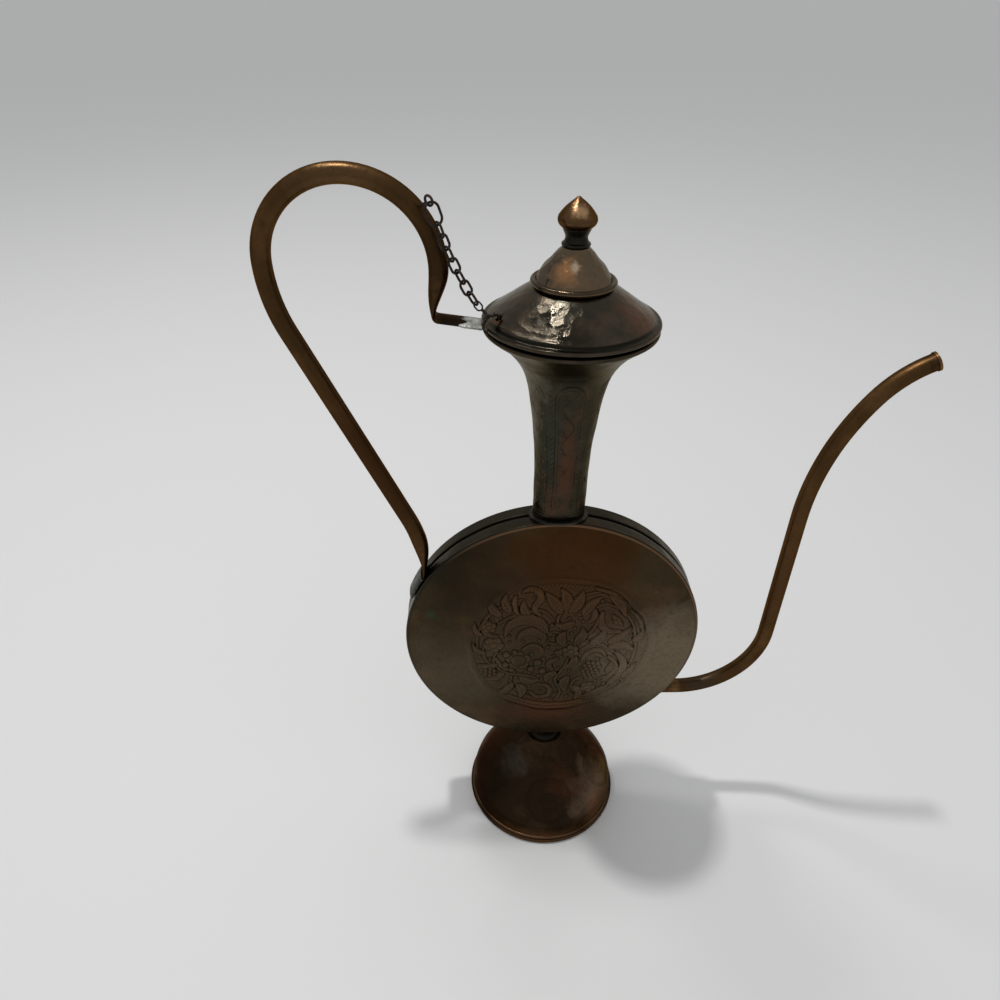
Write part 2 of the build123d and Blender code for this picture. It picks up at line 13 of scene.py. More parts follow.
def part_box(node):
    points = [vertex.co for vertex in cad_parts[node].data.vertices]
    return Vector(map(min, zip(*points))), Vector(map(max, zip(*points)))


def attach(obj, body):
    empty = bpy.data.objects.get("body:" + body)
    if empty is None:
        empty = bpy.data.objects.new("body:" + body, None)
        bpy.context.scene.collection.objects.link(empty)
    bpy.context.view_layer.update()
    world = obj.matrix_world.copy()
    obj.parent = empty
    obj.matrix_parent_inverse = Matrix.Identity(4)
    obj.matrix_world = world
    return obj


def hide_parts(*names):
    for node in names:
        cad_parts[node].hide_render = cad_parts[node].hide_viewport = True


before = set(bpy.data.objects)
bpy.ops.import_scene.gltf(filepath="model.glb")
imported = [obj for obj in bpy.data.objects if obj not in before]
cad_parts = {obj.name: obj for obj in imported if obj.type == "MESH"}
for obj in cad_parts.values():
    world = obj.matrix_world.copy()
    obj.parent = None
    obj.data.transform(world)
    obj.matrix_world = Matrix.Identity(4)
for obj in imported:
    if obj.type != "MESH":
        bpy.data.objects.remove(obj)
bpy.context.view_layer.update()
MM = 0.001

# Heights and radii of the part, from the frame
body_low, body_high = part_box("body_front")
BODY_RADIUS = (body_high[2] - body_low[2]) / 2 / MM
BODY_Z = (body_high[2] + body_low[2]) / 2 / MM
FOOT_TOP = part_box("foot_bell")[1][2] / MM
FOOT_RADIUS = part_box("foot_bell")[1][0] / MM
MOUTH_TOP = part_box("neck_tube")[1][2] / MM
LID_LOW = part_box("lid_skirt")[0][2] / MM
LID_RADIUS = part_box("lid_skirt")[1][0] / MM
DOME_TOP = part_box("lid_dome")[1][2] / MM
CAP_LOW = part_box("finial_cap")[0][2] / MM
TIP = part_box("finial_cap")[1][2] / MM

# Thickness of the sheet of the foot, neck and flask, and of the lid's
SHEET = 1.2
LID_SHEET = 1.0

# Radius of the smallest ring of a surface that closes on the axis, and of the plates' smallest ring
AXIS = 0.01
EYE = 0.05

# The lid's rolled edge, the top of its skirt, and the hole in the skirt
LID_BEAD = 1.1
EDGE_Z = LID_LOW + LID_BEAD
CROWN_RADIUS = 19.4
CROWN_Z = EDGE_Z + 17.0
HOLE = (-35.43, -11.51)
HOLE_RADIUS = 2.0
HOLE_LOW, HOLE_HIGH = 373.0, 386.0

# The lid's wire: which way from the axis it lies, its radius, and the places of two coils, outward and up
WIRE_SIDE = radians(-162)
WIRE_RADIUS = 0.42
TWIST = [(44.3, 379.4), (42.6, 378.1), (40.6, 378.5), (38.4, 378.6)]
TURNS = [(42.8, 378.3), (44.4, 376.9), (45.2, 374.4)]

# A plate: radius of its rounded edge, rise of its dish, and depth of its face from the seam
PLATE_EDGE = 2.0
PLATE_RISE = 5.0
PLATE_FRONT = 11.0

# The medallion: its middle on the front plate, and its size and height against the drawing's
MEDALLION_RIGHT = 4.0
MEDALLION_UP = -2.5
MEDALLION_SCALE = 0.96
MEDALLION_RELIEF = 0.75

rng = np.random.default_rng(7)


# Curves and grids

def lengths(path):
    """Distance along a path of points, for each point."""
    return np.concatenate([[0], np.cumsum(np.hypot(*np.diff(path, axis=0).T))])


def smooth_curve(points, steps):
    """Points on a natural cubic curve through a few given points, spaced by chord length."""
    p = np.array(points, float)
    t = lengths(p)
    n = len(p)
    h = np.diff(t)
    a = np.eye(n)
    b = np.zeros((n, 2))
    for i in range(1, n - 1):
        a[i, i - 1:i + 2] = h[i - 1], 2 * (h[i - 1] + h[i]), h[i]
        b[i] = 6 * ((p[i + 1] - p[i]) / h[i] - (p[i] - p[i - 1]) / h[i - 1])
    m = np.linalg.solve(a, b)
    out = []
    for s in np.linspace(0, t[-1], steps):
        i = min(int(np.searchsorted(t, s, side="right")) - 1, n - 2)
        u = s - t[i]
        w = h[i] - u
        bow = (m[i] * w**3 + m[i + 1] * u**3) / (6 * h[i])
        line = (p[i] / h[i] - m[i] * h[i] / 6) * w + (p[i + 1] / h[i] - m[i + 1] * h[i] / 6) * u
        out.append(bow + line)
    return np.array(out)


def arc(centre, radius, start, end, steps):
    """Points on an arc, angles in degrees."""
    a = np.radians(np.linspace(start, end, steps))
    return np.stack([centre[0] + radius * np.cos(a), centre[1] + radius * np.sin(a)], 1)


def left_normals(path):
    """Unit normals to the left of an open path of points."""
    d = np.gradient(path, axis=0)
    d /= np.hypot(d[:, 0], d[:, 1])[:, None]
    return np.stack([-d[:, 1], d[:, 0]], 1)


def mesh_piece(name, points, body, node, close_rows=True, dirt=None, wear_and_highlight=None):
    """Piece from a grid of points in millimetres, closed along its columns, and along its rows if asked.

    The dirt, and the wear with painted highlights, 0 to 1 for each point, are kept on the mesh for the
    material to read.
    """
    rows, cols = points.shape[:2]
    index = np.arange(rows * cols).reshape(rows, cols)
    last = rows if close_rows else rows - 1
    low = index[np.arange(last)]
    high = index[(np.arange(last) + 1) % rows]
    faces = np.stack([low, np.roll(low, -1, 1), np.roll(high, -1, 1), high], -1).reshape(-1, 4)
    mesh = bpy.data.meshes.new(name)
    mesh.from_pydata((points.reshape(-1, 3) * MM).tolist(), [], faces.tolist())
    mesh.update()
    piece = bpy.data.objects.new(name, mesh)
    bpy.context.scene.collection.objects.link(piece)
    for kind, amount in (("dirt", dirt), ("wear_and_highlight", wear_and_highlight)):
        if amount is not None:
            layer = mesh.attributes.new(kind, "FLOAT", "POINT")
            layer.data.foreach_set("value", np.clip(amount, 0, 1).astype(np.float32).ravel())
    for polygon in mesh.polygons:
        polygon.use_smooth = True
    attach(piece, body)
    if node:
        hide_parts(node)
    return piece


def cap_ends(piece, rows, cols):
    """Closes the first and last row of a piece's grid with a fan each."""
    mesh = piece.data
    verts = [v.co[:] for v in mesh.vertices]
    faces = [tuple(p.vertices) for p in mesh.polygons]
    first = list(range(cols))
    last = list(range((rows - 1) * cols, rows * cols))
    faces += [tuple(reversed(first)), tuple(last)]
    mesh.clear_geometry()
    mesh.from_pydata(verts, [], faces)
    mesh.update()
    for polygon in mesh.polygons:
        polygon.use_smooth = True


def turned(outline, columns):
    """Grid of a surface of revolution about Z: radius, height and angle for each point."""
    angle = np.linspace(0, 2 * pi, columns, endpoint=False)
    radius = np.repeat(outline[:, :1], columns, 1)
    height = np.repeat(outline[:, 1:], columns, 1)
    return radius, height, np.repeat(angle[None], len(outline), 0)


def to_points(radius, height, angle):
    """Grid of points about Z."""
    return np.stack([radius * np.cos(angle), radius * np.sin(angle), height], -1)


def raised(outline, radius, height, lines):
    """Radius and height of a turned surface once the heights of its lines stand out from it."""
    normal = left_normals(outline)
    return radius - normal[:, :1] * lines, height - normal[:, 1:] * lines


def dents(u, v, around, spacing, depth, seed):
    """Hammer marks: shallow cells round points scattered over a surface, u and v in millimetres.

    The surface closes on itself after a distance around along u.
    """
    local = np.random.default_rng(seed)
    count = max(int(round(around / spacing)), 3)
    best = np.full(u.shape, 9.0)
    for i, row in enumerate(np.arange(v.min() - spacing, v.max() + spacing, spacing * 0.87)):
        for k in range(count):
            cu = (k + (i % 2) / 2 + local.uniform(-0.3, 0.3)) * around / count
            cv = row + local.uniform(-0.3, 0.3) * spacing
            du = (u - cu + around / 2) % around - around / 2
            best = np.minimum(best, (du**2 + (v - cv) ** 2) / spacing**2)
    return depth * (np.clip(best * 2.4, 0, 1) - 1)


def ripple(points, size, depth, seed):
    """Slow unevenness of hand-worked sheet, from noise at the points."""
    flat = points.reshape(-1, 3) / size + seed
    values = np.array([noise.noise(Vector(p)) for p in flat])
    return depth * values.reshape(points.shape[:-1])


def groove(distance, width, depth):
    """Engraved line: rounded groove at a distance of 0."""
    return -depth * np.exp(-((distance / width) ** 2))


# Foot: bell with a double rolled rim and faint engraved circles

ROUNDELS = 5


def roundel(angle, along, radius, middle, size, turn):
    """Distance to circles drawn side by side round a bell, in millimetres; along is measured up its side."""
    place = ((angle + turn) * ROUNDELS / (2 * pi)) % 1 - 0.5
    return np.hypot(place * 2 * pi * radius / ROUNDELS, along - middle) - size


def make_foot():
    """Bell with a double rolled rim and faint engraved circles."""
    low_bead, high_bead = 1.9, 1.1
    middle = FOOT_RADIUS - low_bead
    rim = np.concatenate([
        [(FOOT_RADIUS - 3.0, 0.4), (FOOT_RADIUS - 2.2, 0.0), (FOOT_RADIUS - 1.2, 0.0)],
        arc((middle, 2.1), low_bead, -60, 62, 10),
        arc((middle, 4.9), high_bead, -35, 85, 8),
    ])
    bell = smooth_curve([(middle, 6.0), (50.4, 16.5), (37.6, 37.0), (12.6, FOOT_TOP)], 150)
    under = FOOT_TOP - SHEET
    shoulder = np.array([(11.4, FOOT_TOP), (10.2, FOOT_TOP), (10.2, under), (12.0, under)])
    inside = (bell + left_normals(bell) * SHEET)[::-1]
    inside = inside[(inside[:, 1] < under - 1) & (inside[:, 0] < FOOT_RADIUS - 3.2)]
    outline = np.concatenate([rim, bell, shoulder, inside])
    radius, height, angle = turned(outline, 320)
    outer = np.zeros(len(outline), bool)
    outer[len(rim) + 2:len(rim) + len(bell) - 4] = True
    along = lengths(outline)[:, None]
    along = along - along[len(rim)]
    # Circles: way up the side, radius, turn round the bell, width and depth of the line
    circles = [(29, 15.5, 0.9, 0.5, 0.22), (29, 13.8, 0.9, 0.4, 0.14), (29, 5.5, 0.9, 0.45, 0.14),
               (58, 10.0, 0.9 + pi / ROUNDELS, 0.45, 0.14)]
    lines = np.zeros_like(radius)
    for place, size, turn, width, depth in circles:
        lines += groove(roundel(angle, along, radius, place, size, turn), width, depth)
    lines += groove(along - 8.5, 0.4, 0.25) + groove(along - 6.6, 0.35, 0.18)
    dirt = -lines * 2.2
    lines += ripple(to_points(radius, height, angle), 14, 0.3, 3.1)
    lines[~outer] = 0
    dirt[~outer] = 0
    # The place where the beads meet is darkened, and the upper bead gets painted highlights here and there
    dirt[len(rim) - 9:len(rim) - 7] = 0.9
    wear_and_highlight = np.zeros_like(radius)
    wear_and_highlight[len(rim) - 6:len(rim)] = 0.45 + 0.4 * np.sin(angle[0] * 3 + 1.5 * np.sin(angle[0] * 5))
    points = to_points(*raised(outline, radius, height, lines), angle)
    return mesh_piece("foot", points, "ewer", "foot_bell", dirt=dirt, wear_and_highlight=wear_and_highlight)


# Neck: oval foot on the rim, engraved shaft, flare and rolled mouth

def neck_engraving(radius, height, angle):
    """Arched panels with a bough and buds in them, twisted strips between them, and rings round both ends."""
    panels = 6
    low, high = 262, 341
    turn = ((angle + pi / 2 + pi / panels) * panels / (2 * pi)) % 1 - 0.5
    across = turn * 2 * pi * radius / panels
    half = 2 * pi * radius / panels * 0.36
    crown = np.hypot(across, np.clip(height - (high - 5), 0, None) * 0.9)
    lines = groove(crown - half, 0.4, 0.3) * (height > low)
    lines += groove(crown - half + 1.7, 0.35, 0.18) * (height > low + 2)
    strip = np.abs(np.abs(turn) - 0.5) * 2 * pi * radius / panels
    slant = np.sin((height - strip * 1.2) * 1.9)
    shaft = (height > low) * (height < high)
    lines -= 0.2 * np.clip(slant, 0, 1) * shaft * (strip < 2.0)
    inside_panel = (crown < half - 2.2) * (height > low + 4)
    bough = across - 0.45 * half * np.sin(height * 0.28)
    lines += groove(bough, 0.4, 0.22) * inside_panel
    sprig = np.sin(height * 0.56) * half * 0.5
    bud = np.hypot(across + sprig, ((height + 2.8) % 11.2 - 5.6) * 0.9)
    lines += groove(bud - 1.5, 0.35, 0.2) * inside_panel
    punch = np.sin(across * 3.1 + 1.1 * np.sin(height)) * np.sin(height * 3.1 + np.sin(across * 1.3))
    lines -= 0.08 * np.clip(punch, 0, 1) * inside_panel
    for level in (256.5, 259.0, 261.0):
        lines += groove(height - level, 0.4, 0.25)
    for level in (352.5, 354.0):
        lines += groove(height - level, 0.3, 0.2)
    return lines


def make_neck():
    """Shaft with engraved panels, a flare and a rolled mouth."""
    face = smooth_curve([(15.0, 252.0), (15.0, 275.0), (15.4, 295.0), (18.1, 322.0), (24.0, 347.0),
                         (33.0, 359.1), (43.0, 367.2)], 300)
    mouth = arc((42.75, MOUTH_TOP - 1.0), 1.05, -60, 200, 14)
    inside = (face + left_normals(face) * SHEET)[::-1]
    inside = inside[inside[:, 0] < 41.5]
    outline = np.concatenate([face, mouth, inside])
    radius, height, angle = turned(outline, 360)
    outer = np.zeros(len(outline), bool)
    outer[:len(face) - 8] = True
    lines = neck_engraving(radius, height, angle)
    # Hands have rubbed the engraving away in places
    rubbed = ripple(to_points(radius, height, angle), 8, 1.0, 4.1)
    lines *= np.clip(0.65 + 1.3 * rubbed, 0.15, 1)
    dirt = -lines * 2.4
    lines += ripple(to_points(radius, height, angle), 11, 0.25, 8.7)
    lines[~outer] = 0
    dirt[~outer] = 0
    radius, height = raised(outline, radius, height, lines)
    # The shaft is oval at its foot and follows the flask's rim
    oval = np.clip((288.0 - height) / 40.0, 0, 1)
    narrow = 1 - 0.43 * oval
    x = radius * np.cos(angle)
    y = radius * np.sin(angle) * narrow
    rim = BODY_Z + np.sqrt(np.clip((BODY_RADIUS + 0.15) ** 2 - x**2, 0, None))
    z = np.maximum(height, rim)
    return mesh_piece("neck", np.stack([x, y, z], -1), "ewer", "neck_tube", dirt=dirt)


# Lid: hammered skirt with a crease and a rolled edge, a dome and the finial

def pierce(piece, centre, radius, low, high):
    """Cuts a slightly ragged round hole through a piece, along Z."""
    steps = 28
    ring = []
    for i in range(steps):
        a = 2 * pi * i / steps
        r = radius * (1 + 0.05 * sin(3 * a + 1) + 0.04 * sin(7 * a))
        ring.append((centre[0] + r * cos(a), centre[1] + r * sin(a)))
    verts = [(x * MM, y * MM, z * MM) for z in (low, high) for x, y in ring]
    faces = [(i, (i + 1) % steps, (i + 1) % steps + steps, i + steps) for i in range(steps)]
    faces += [tuple(reversed(range(steps))), tuple(range(steps, 2 * steps))]
    mesh = bpy.data.meshes.new("punch")
    mesh.from_pydata(verts, [], faces)
    punch = bpy.data.objects.new("punch", mesh)
    bpy.context.scene.collection.objects.link(punch)
    cut = piece.modifiers.new("hole", "BOOLEAN")
    cut.operation = "DIFFERENCE"
    cut.solver = "EXACT"
    cut.object = punch
    bpy.context.view_layer.update()
    shape = piece.evaluated_get(bpy.context.evaluated_depsgraph_get())
    cut_mesh = bpy.data.meshes.new_from_object(shape)
    piece.modifiers.clear()
    piece.data = cut_mesh
    bpy.data.objects.remove(punch)


def make_skirt():
    """Hammered skirt with a crease, a rolled edge and the hole for the wire."""
    crease = (LID_RADIUS - 4.1, EDGE_Z + 3.2)
    bead = arc((LID_RADIUS - LID_BEAD, EDGE_Z), LID_BEAD, -150, 100, 14)
    flange = smooth_curve([bead[-1] + (-0.4, 0.0), (LID_RADIUS - 2.5, EDGE_Z + 1.3), crease], 12)[1:]
    steps = [crease, (30.6, EDGE_Z + 9.8), (24.5, EDGE_Z + 14.0), (CROWN_RADIUS, CROWN_Z)]
    slope = smooth_curve(steps, 90)[1:]
    shown = np.concatenate([flange, slope])
    inside = (shown + left_normals(shown) * LID_SHEET)[::-1]
    outline = np.concatenate([bead, shown, inside])
    radius, height, angle = turned(outline, 320)
    start = len(bead) + len(flange)
    outer = np.zeros(len(outline), bool)
    outer[start + 1:start + len(slope)] = True
    along = np.repeat(lengths(outline)[:, None], radius.shape[1], 1)
    middle = 32
    marks = dents(angle * middle, along, 2 * pi * middle, 6.5, 0.22, 5)
    worked = 0.45 + 0.55 * np.cos(angle + pi / 2) ** 2
    fade = np.clip((radius - 22) / 3, 0, 1) * np.clip((crease[0] - radius) / 1.5, 0, 1) * worked
    lines = marks * fade + ripple(to_points(radius, height, angle), 10, 0.10, 1.3)
    lines[~outer] = 0
    # The recessed band under the crease is darkened
    dirt = np.zeros_like(radius)
    dirt[len(bead) - 3:start - 3] = 0.95
    points = to_points(*raised(outline, radius, height, lines), angle)
    skirt = mesh_piece("lid_sheet", points, "lid", "lid_skirt", dirt=dirt)
    pierce(skirt, HOLE, HOLE_RADIUS, HOLE_LOW, HOLE_HIGH)
    return skirt


def make_dome():
    """Hammered dome on a rolled ring."""
    ring_z = CROWN_Z + 1.84
    ring = arc((CROWN_RADIUS, ring_z), 1.5, -160, 90, 14)
    steps = [(18.6, ring_z + 0.9), (15.4, ring_z + 6.4), (11.7, ring_z + 10.8), (6.4, DOME_TOP)]
    dome = smooth_curve(steps, 60)
    inside = (dome + left_normals(dome) * LID_SHEET)[::-1]
    inside[0] = (5.4, DOME_TOP - LID_SHEET)
    outline = np.concatenate([ring, dome, inside])
    radius, height, angle = turned(outline, 224)
    outer = np.zeros(len(outline), bool)
    outer[len(ring):len(ring) + len(dome) - 1] = True
    along = np.repeat(lengths(outline)[:, None], radius.shape[1], 1)
    middle = 14
    lines = dents(angle * middle, along, 2 * pi * middle, 6.0, 0.3, 11)
    lines += ripple(to_points(radius, height, angle), 7, 0.18, 5.9)
    lines[~outer] = 0
    points = to_points(*raised(outline, radius, height, lines), angle)
    # The ring is dark, with a painted highlight on the rows where it stands out most
    rubbed = slice(len(ring) - 8, len(ring) - 5)
    dirt = np.zeros_like(radius)
    dirt[:len(ring)] = 0.7
    dirt[rubbed] = 0.2
    wear_and_highlight = np.zeros_like(radius)
    wear_and_highlight[rubbed] = 0.5
    return mesh_piece("dome", points, "lid", "lid_dome", dirt=dirt, wear_and_highlight=wear_and_highlight)


def make_stem():
    """Waisted stem of the finial."""
    waist = [(5.9, DOME_TOP + 2.0), (5.3, DOME_TOP + 4.2), (6.2, DOME_TOP + 6.8), (6.9, CAP_LOW)]
    outline = np.concatenate([
        [(AXIS, DOME_TOP), (6.2, DOME_TOP)],
        arc((6.0, DOME_TOP + 1.0), 0.9, -60, 80, 6),
        smooth_curve(waist, 18),
        [(AXIS, CAP_LOW)],
    ])
    radius, height, angle = turned(outline, 96)
    points = to_points(radius, height, angle)
    stem = mesh_piece("stem", points, "lid", "finial_stem", False)
    cap_ends(stem, *radius.shape)
    return stem


def make_cap():
    """Pointed cap of the finial, with a round shoulder."""
    shoulder = [(7.1, CAP_LOW + 0.2), (8.4, TIP - 12.2), (9.2, TIP - 10.2), (8.9, TIP - 8.4)]
    cone = [(8.9, TIP - 8.4), (7.3, TIP - 6.2), (4.4, TIP - 3.3), (1.5, TIP - 0.9)]
    point = [(1.2, TIP - 0.6), (0.7, TIP - 0.2), (AXIS, TIP)]
    outline = np.concatenate([
        [(AXIS, CAP_LOW), (7.0, CAP_LOW)],
        smooth_curve(shoulder, 14)[:-1],
        smooth_curve(cone, 24),
        smooth_curve(point, 6),
    ])
    radius, height, angle = turned(outline, 112)
    lines = ripple(to_points(radius, height, angle), 5, 0.25, 2.2)
    radius = radius + lines * np.clip(radius / 3, 0, 1)
    points = to_points(radius, height, angle)
    cap = mesh_piece("cap", points, "lid", "finial_cap", False)
    cap_ends(cap, *radius.shape)
    return cap


# Solder on the handle's tab, and the turns of the lid's wire about itself

def make_tab_solder():
    """Ragged tin that runs round the end of the handle's tab, thick below it."""
    inner, outer, ragged = -43.7, -57.0, -53.2
    half_width, half_depth = 6.8, 1.1
    root_x, root_z = -43.0, MOUTH_TOP - 0.4
    slope = radians(7.8)
    rows, columns = 60, 72
    way = np.linspace(outer, inner, rows)
    turn = np.linspace(0, 2 * pi, columns, False)
    along, angle = np.meshgrid(way, turn, indexing="ij")
    spots = np.stack([along, half_width * np.cos(angle), half_depth * np.sin(angle)], -1)
    lumps = ripple(spots, 1.6, 1.0, 12.5)
    edge = ragged + 3.4 * ripple(spots * (0, 1, 1), 2.6, 1.0, 3.3)
    cover = np.clip((along - edge) / 1.4, 0, 1)
    low = np.clip(-np.sin(angle), 0, 1) ** 0.5
    thick = (0.16 + 0.75 * low + 0.16 * lumps * (1 + low)) * cover - 0.3 * (1 - cover)
    y = (half_width + 0.5 * thick) * np.cos(angle)
    out = (half_depth + thick) * np.sin(angle)
    x = along + out * sin(slope)
    z = root_z + (root_x - along) * sin(slope) / cos(slope) + out * cos(slope)
    piece = mesh_piece("tab_solder", np.stack([x, y, z], -1), "ewer", "handle_top_solder", False)
    cap_ends(piece, rows, columns)
    return piece


def coil(name, points, turn_radius, pitch):
    """Wire wound round a curve in the upright plane through the lid's hole; points are outward and up."""
    path = smooth_curve(points, 220)
    normal = left_normals(path)
    phase = 2 * pi * lengths(path) / pitch
    out = path[:, 0] + normal[:, 0] * turn_radius * np.cos(phase)
    up = path[:, 1] + normal[:, 1] * turn_radius * np.cos(phase)
    side = turn_radius * np.sin(phase)
    c, s = cos(WIRE_SIDE), sin(WIRE_SIDE)
    line = np.stack([out * c - side * s, out * s + side * c, up], -1)
    ahead = np.gradient(line, axis=0)
    ahead /= np.linalg.norm(ahead, axis=1)[:, None]
    first = np.cross(ahead, (0.3, -0.8, 0.5))
    first /= np.linalg.norm(first, axis=1)[:, None]
    second = np.cross(ahead, first)
    angle = np.linspace(0, 2 * pi, 10, False)
    ring = first[:, None] * np.cos(angle)[:, None] + second[:, None] * np.sin(angle)[:, None]
    grid = line[:, None] + ring * WIRE_RADIUS
    piece = mesh_piece(name, grid, "lid", None, False)
    cap_ends(piece, len(line), len(angle))
    return piece


# Flask: the plates, the front one with an embossed medallion of leaf scrolls, flowers and fruit

def beside(x, y, points, reach):
    """Grid points within reach of a smooth curve, with their share of its length and distance to its left."""
    path = smooth_curve(points, 90)
    near = (x > path[:, 0].min() - reach) & (x < path[:, 0].max() + reach)
    near &= (y > path[:, 1].min() - reach) & (y < path[:, 1].max() + reach)
    place = np.stack([x[near], y[near]], 1)
    apart = ((place[:, None] - path[None]) ** 2).sum(-1)
    nearest = apart.argmin(1)
    way = np.gradient(path, axis=0)
    step = np.hypot(way[:, 0], way[:, 1])
    way /= step[:, None]
    away = place - path[nearest]
    ahead = (away * way[nearest]).sum(1)
    aside = way[nearest, 0] * away[:, 1] - way[nearest, 1] * away[:, 0]
    share = (nearest + ahead / step[nearest]) / (len(path) - 1)
    return near, share, aside, step.sum()


def lay(relief, near, height, edge):
    """Lays a shape over the relief, with a chased line round its edge; edge is negative inside the shape."""
    under = relief[near]
    relief[near] = np.where(edge < 0, height, under) - 0.75 * np.exp(-(((edge - 0.15) / 0.55) ** 2))


def leaf(relief, x, y, points, width, height=1.5):
    """Pointed leaf along a curve, with a sunk midrib and slanted veins."""
    near, t, v, length = beside(x, y, points, width)
    inside = np.clip(t, 0, 1)
    half = width / 2 * np.sin(pi * inside**0.75) ** 0.8
    over = np.maximum(np.maximum(-t, t - 1), 0) * length
    edge = np.hypot(np.maximum(np.abs(v) - half, 0), over) + np.minimum(np.abs(v) - half, 0) * (over == 0)
    crown = np.clip(1 - (v / (half + 0.05)) ** 2, 0, 1) ** 0.5
    veins = 0.24 * np.sin((inside * length - np.abs(v)) * 2.6)
    rib = 0.6 * np.exp(-((v / 0.5) ** 2)) * (1 - inside)
    lay(relief, near, height * (0.35 + 0.65 * crown) + veins * crown - rib, edge)


def ribbon(relief, x, y, points, width, height=1.3, grooves=2):
    """Rounded band along a curve that narrows to its ends, with engraved lines along it."""
    near, t, v, length = beside(x, y, points, width)
    inside = np.clip(t, 0, 1)
    half = width / 2 * (0.35 + 0.65 * np.sin(pi * inside) ** 0.6)
    over = np.maximum(np.maximum(-t, t - 1), 0) * length
    edge = np.hypot(np.maximum(np.abs(v) - half, 0), over) + np.minimum(np.abs(v) - half, 0) * (over == 0)
    crown = np.clip(1 - (v / (half + 0.05)) ** 2, 0, 1) ** 0.5
    lines = 0.22 * np.cos(v / half * pi * grooves) * (half > 0.8)
    lay(relief, near, height * (0.3 + 0.7 * crown) + lines, edge)


def flower(relief, x, y, centre, size, petals, phase, height=1.5):
    """Open flower: petals with a cleft between them round a domed eye."""
    near = np.hypot(x - centre[0], y - centre[1]) < size * 1.4
    dx, dy = x[near] - centre[0], y[near] - centre[1]
    r = np.hypot(dx, dy)
    a = np.arctan2(dy, dx) + phase
    lobe = np.abs(np.cos(a * petals / 2))
    reach = size * (0.74 + 0.26 * lobe**0.7)
    bowl = height * (0.45 + 0.55 * np.clip(r / size, 0, 1)) * np.clip(1 - (r / reach) ** 6, 0, 1) ** 0.4
    cleft = 0.8 * np.exp(-((np.cos(a * petals / 2) / 0.2) ** 2)) * np.clip(r / size * 2 - 0.4, 0, 1)
    eye = 1.1 * np.sqrt(np.clip(1 - (r / size / 0.32) ** 2, 0, 1))
    ring = 0.5 * np.exp(-(((r / size - 0.36) / 0.06) ** 2))
    lay(relief, near, bowl - cleft + eye - ring, r - reach)


def fruit(relief, x, y, centre, size, height=1.6):
    """Round fruit: a dome with a chased outline."""
    near = np.hypot(x - centre[0], y - centre[1]) < size * 1.5 + 1
    r = np.hypot(x[near] - centre[0], y[near] - centre[1])
    lay(relief, near, height * np.sqrt(np.clip(1 - (r / size) ** 2, 0, 1)) ** 1.2 + 0.2, r - size)


def berries(relief, x, y, centre, heading, rows, size=1.7):
    """Bunch of small fruit that narrows away from its base."""
    c, s = cos(radians(heading)), sin(radians(heading))
    for row, wide in enumerate(rows):
        for k in range(wide):
            u = row * size * 1.65
            v = (k - (wide - 1) / 2) * size * 1.9
            fruit(relief, x, y, (centre[0] + u * c - v * s, centre[1] + u * s + v * c), size, 1.3)


LEAVES = [
    # points along the spine, width
    (((2, 34), (3, 44), (-1, 53)), 8), (((0, 32), (-5, 42), (-11, 50)), 8),
    (((5, 33), (11, 42), (13, 51)), 8), (((14, 30), (19, 39), (25, 45)), 7),
    (((30, 46), (38, 38), (42, 27)), 6), (((33, 30), (36, 26), (41, 20)), 4),
    (((32, 5), (40, 10), (47, 19)), 6), (((33, 1), (42, 2), (51, -3)), 7),
    (((20, 4), (27, 9), (29, 18)), 7), (((48, 6), (53, 9), (55, 16)), 5),
    (((45, -30), (49, -24), (53, -15)), 5), (((20, -47), (29, -43), (37, -35)), 6),
    (((33, -23), (36, -19), (36, -13)), 5), (((12, -36), (16, -44), (13, -51)), 6),
    (((8, -26), (5, -35), (7, -44)), 7), (((-25, -26), (-19, -31), (-12, -29)), 7),
    (((-27, -34), (-23, -42), (-25, -50)), 7), (((-30, -33), (-34, -40), (-40, -43)), 6),
    (((-36, -22), (-42, -28), (-49, -29)), 6), (((-40, -14), (-47, -17), (-54, -15)), 5),
    (((-48, -4), (-54, -2), (-57, 5)), 4), (((-50, 12), (-55, 17), (-55, 24)), 4),
    (((-38, 30), (-44, 36), (-45, 43)), 6), (((-32, 33), (-36, 41), (-35, 48)), 6),
    (((-20, 30), (-24, 36), (-24, 43)), 6), (((9, 25), (2, 21), (-4, 24)), 6),
    (((10, 2), (4, -2), (-3, -2)), 6), (((12, -6), (10, -13), (4, -18)), 6),
    (((3, 4), (1, 10), (4, 17)), 7), (((10, 6), (15, 12), (14, 20)), 7),
    (((-10, -3), (-17, 3), (-25, 0)), 6), (((-9, 9), (-15, 16), (-22, 16), (-28, 9)), 7),
    (((-8, 15), (-14, 24), (-24, 27), (-32, 22), (-36, 11)), 9), (((0, -22), (-6, -26), (-7, -33)), 6),
]
RIBBONS = [
    # points along the band, width
    (((-25, 50), (-18, 52), (-13, 45), (-17, 37), (-13, 30)), 5), (((-29, 47), (-30, 38), (-27, 31)), 4),
    (((27, 33), (26, 24), (31, 16), (40, 15)), 5), (((38, -4), (44, -13), (43, -26), (35, -38)), 6),
    (((33, -8), (39, -15), (38, -25), (31, -32)), 4), (((16, -12), (20, -4), (27, -2), (32, -8)), 4),
    (((-14, -34), (-6, -37), (-5, -46), (-13, -48), (-18, -42)), 4),
    (((-34, -46), (-18, -54), (2, -56), (20, -52)), 3.5),
    (((-47, 27), (-50, 20), (-46, 13), (-40, 12)), 3.5), (((20, 52), (32, 47), (42, 38)), 3),
    (((44, 34), (51, 25), (55, 12)), 3), (((0, -8), (-6, -14), (-3, -20)), 4),
    (((-42, -8), (-36, -18), (-28, -22)), 3.5), (((18, 24), (22, 30), (19, 37)), 4),
]
FLOWERS = [
    # middle, radius, petals, turn
    ((-43, 4), 7.0, 5, 0.2), ((-46, 20), 5.0, 5, 0.8), ((8, -2), 6.0, 6, 0.4), ((22, -38), 5.5, 5, 0.1),
]
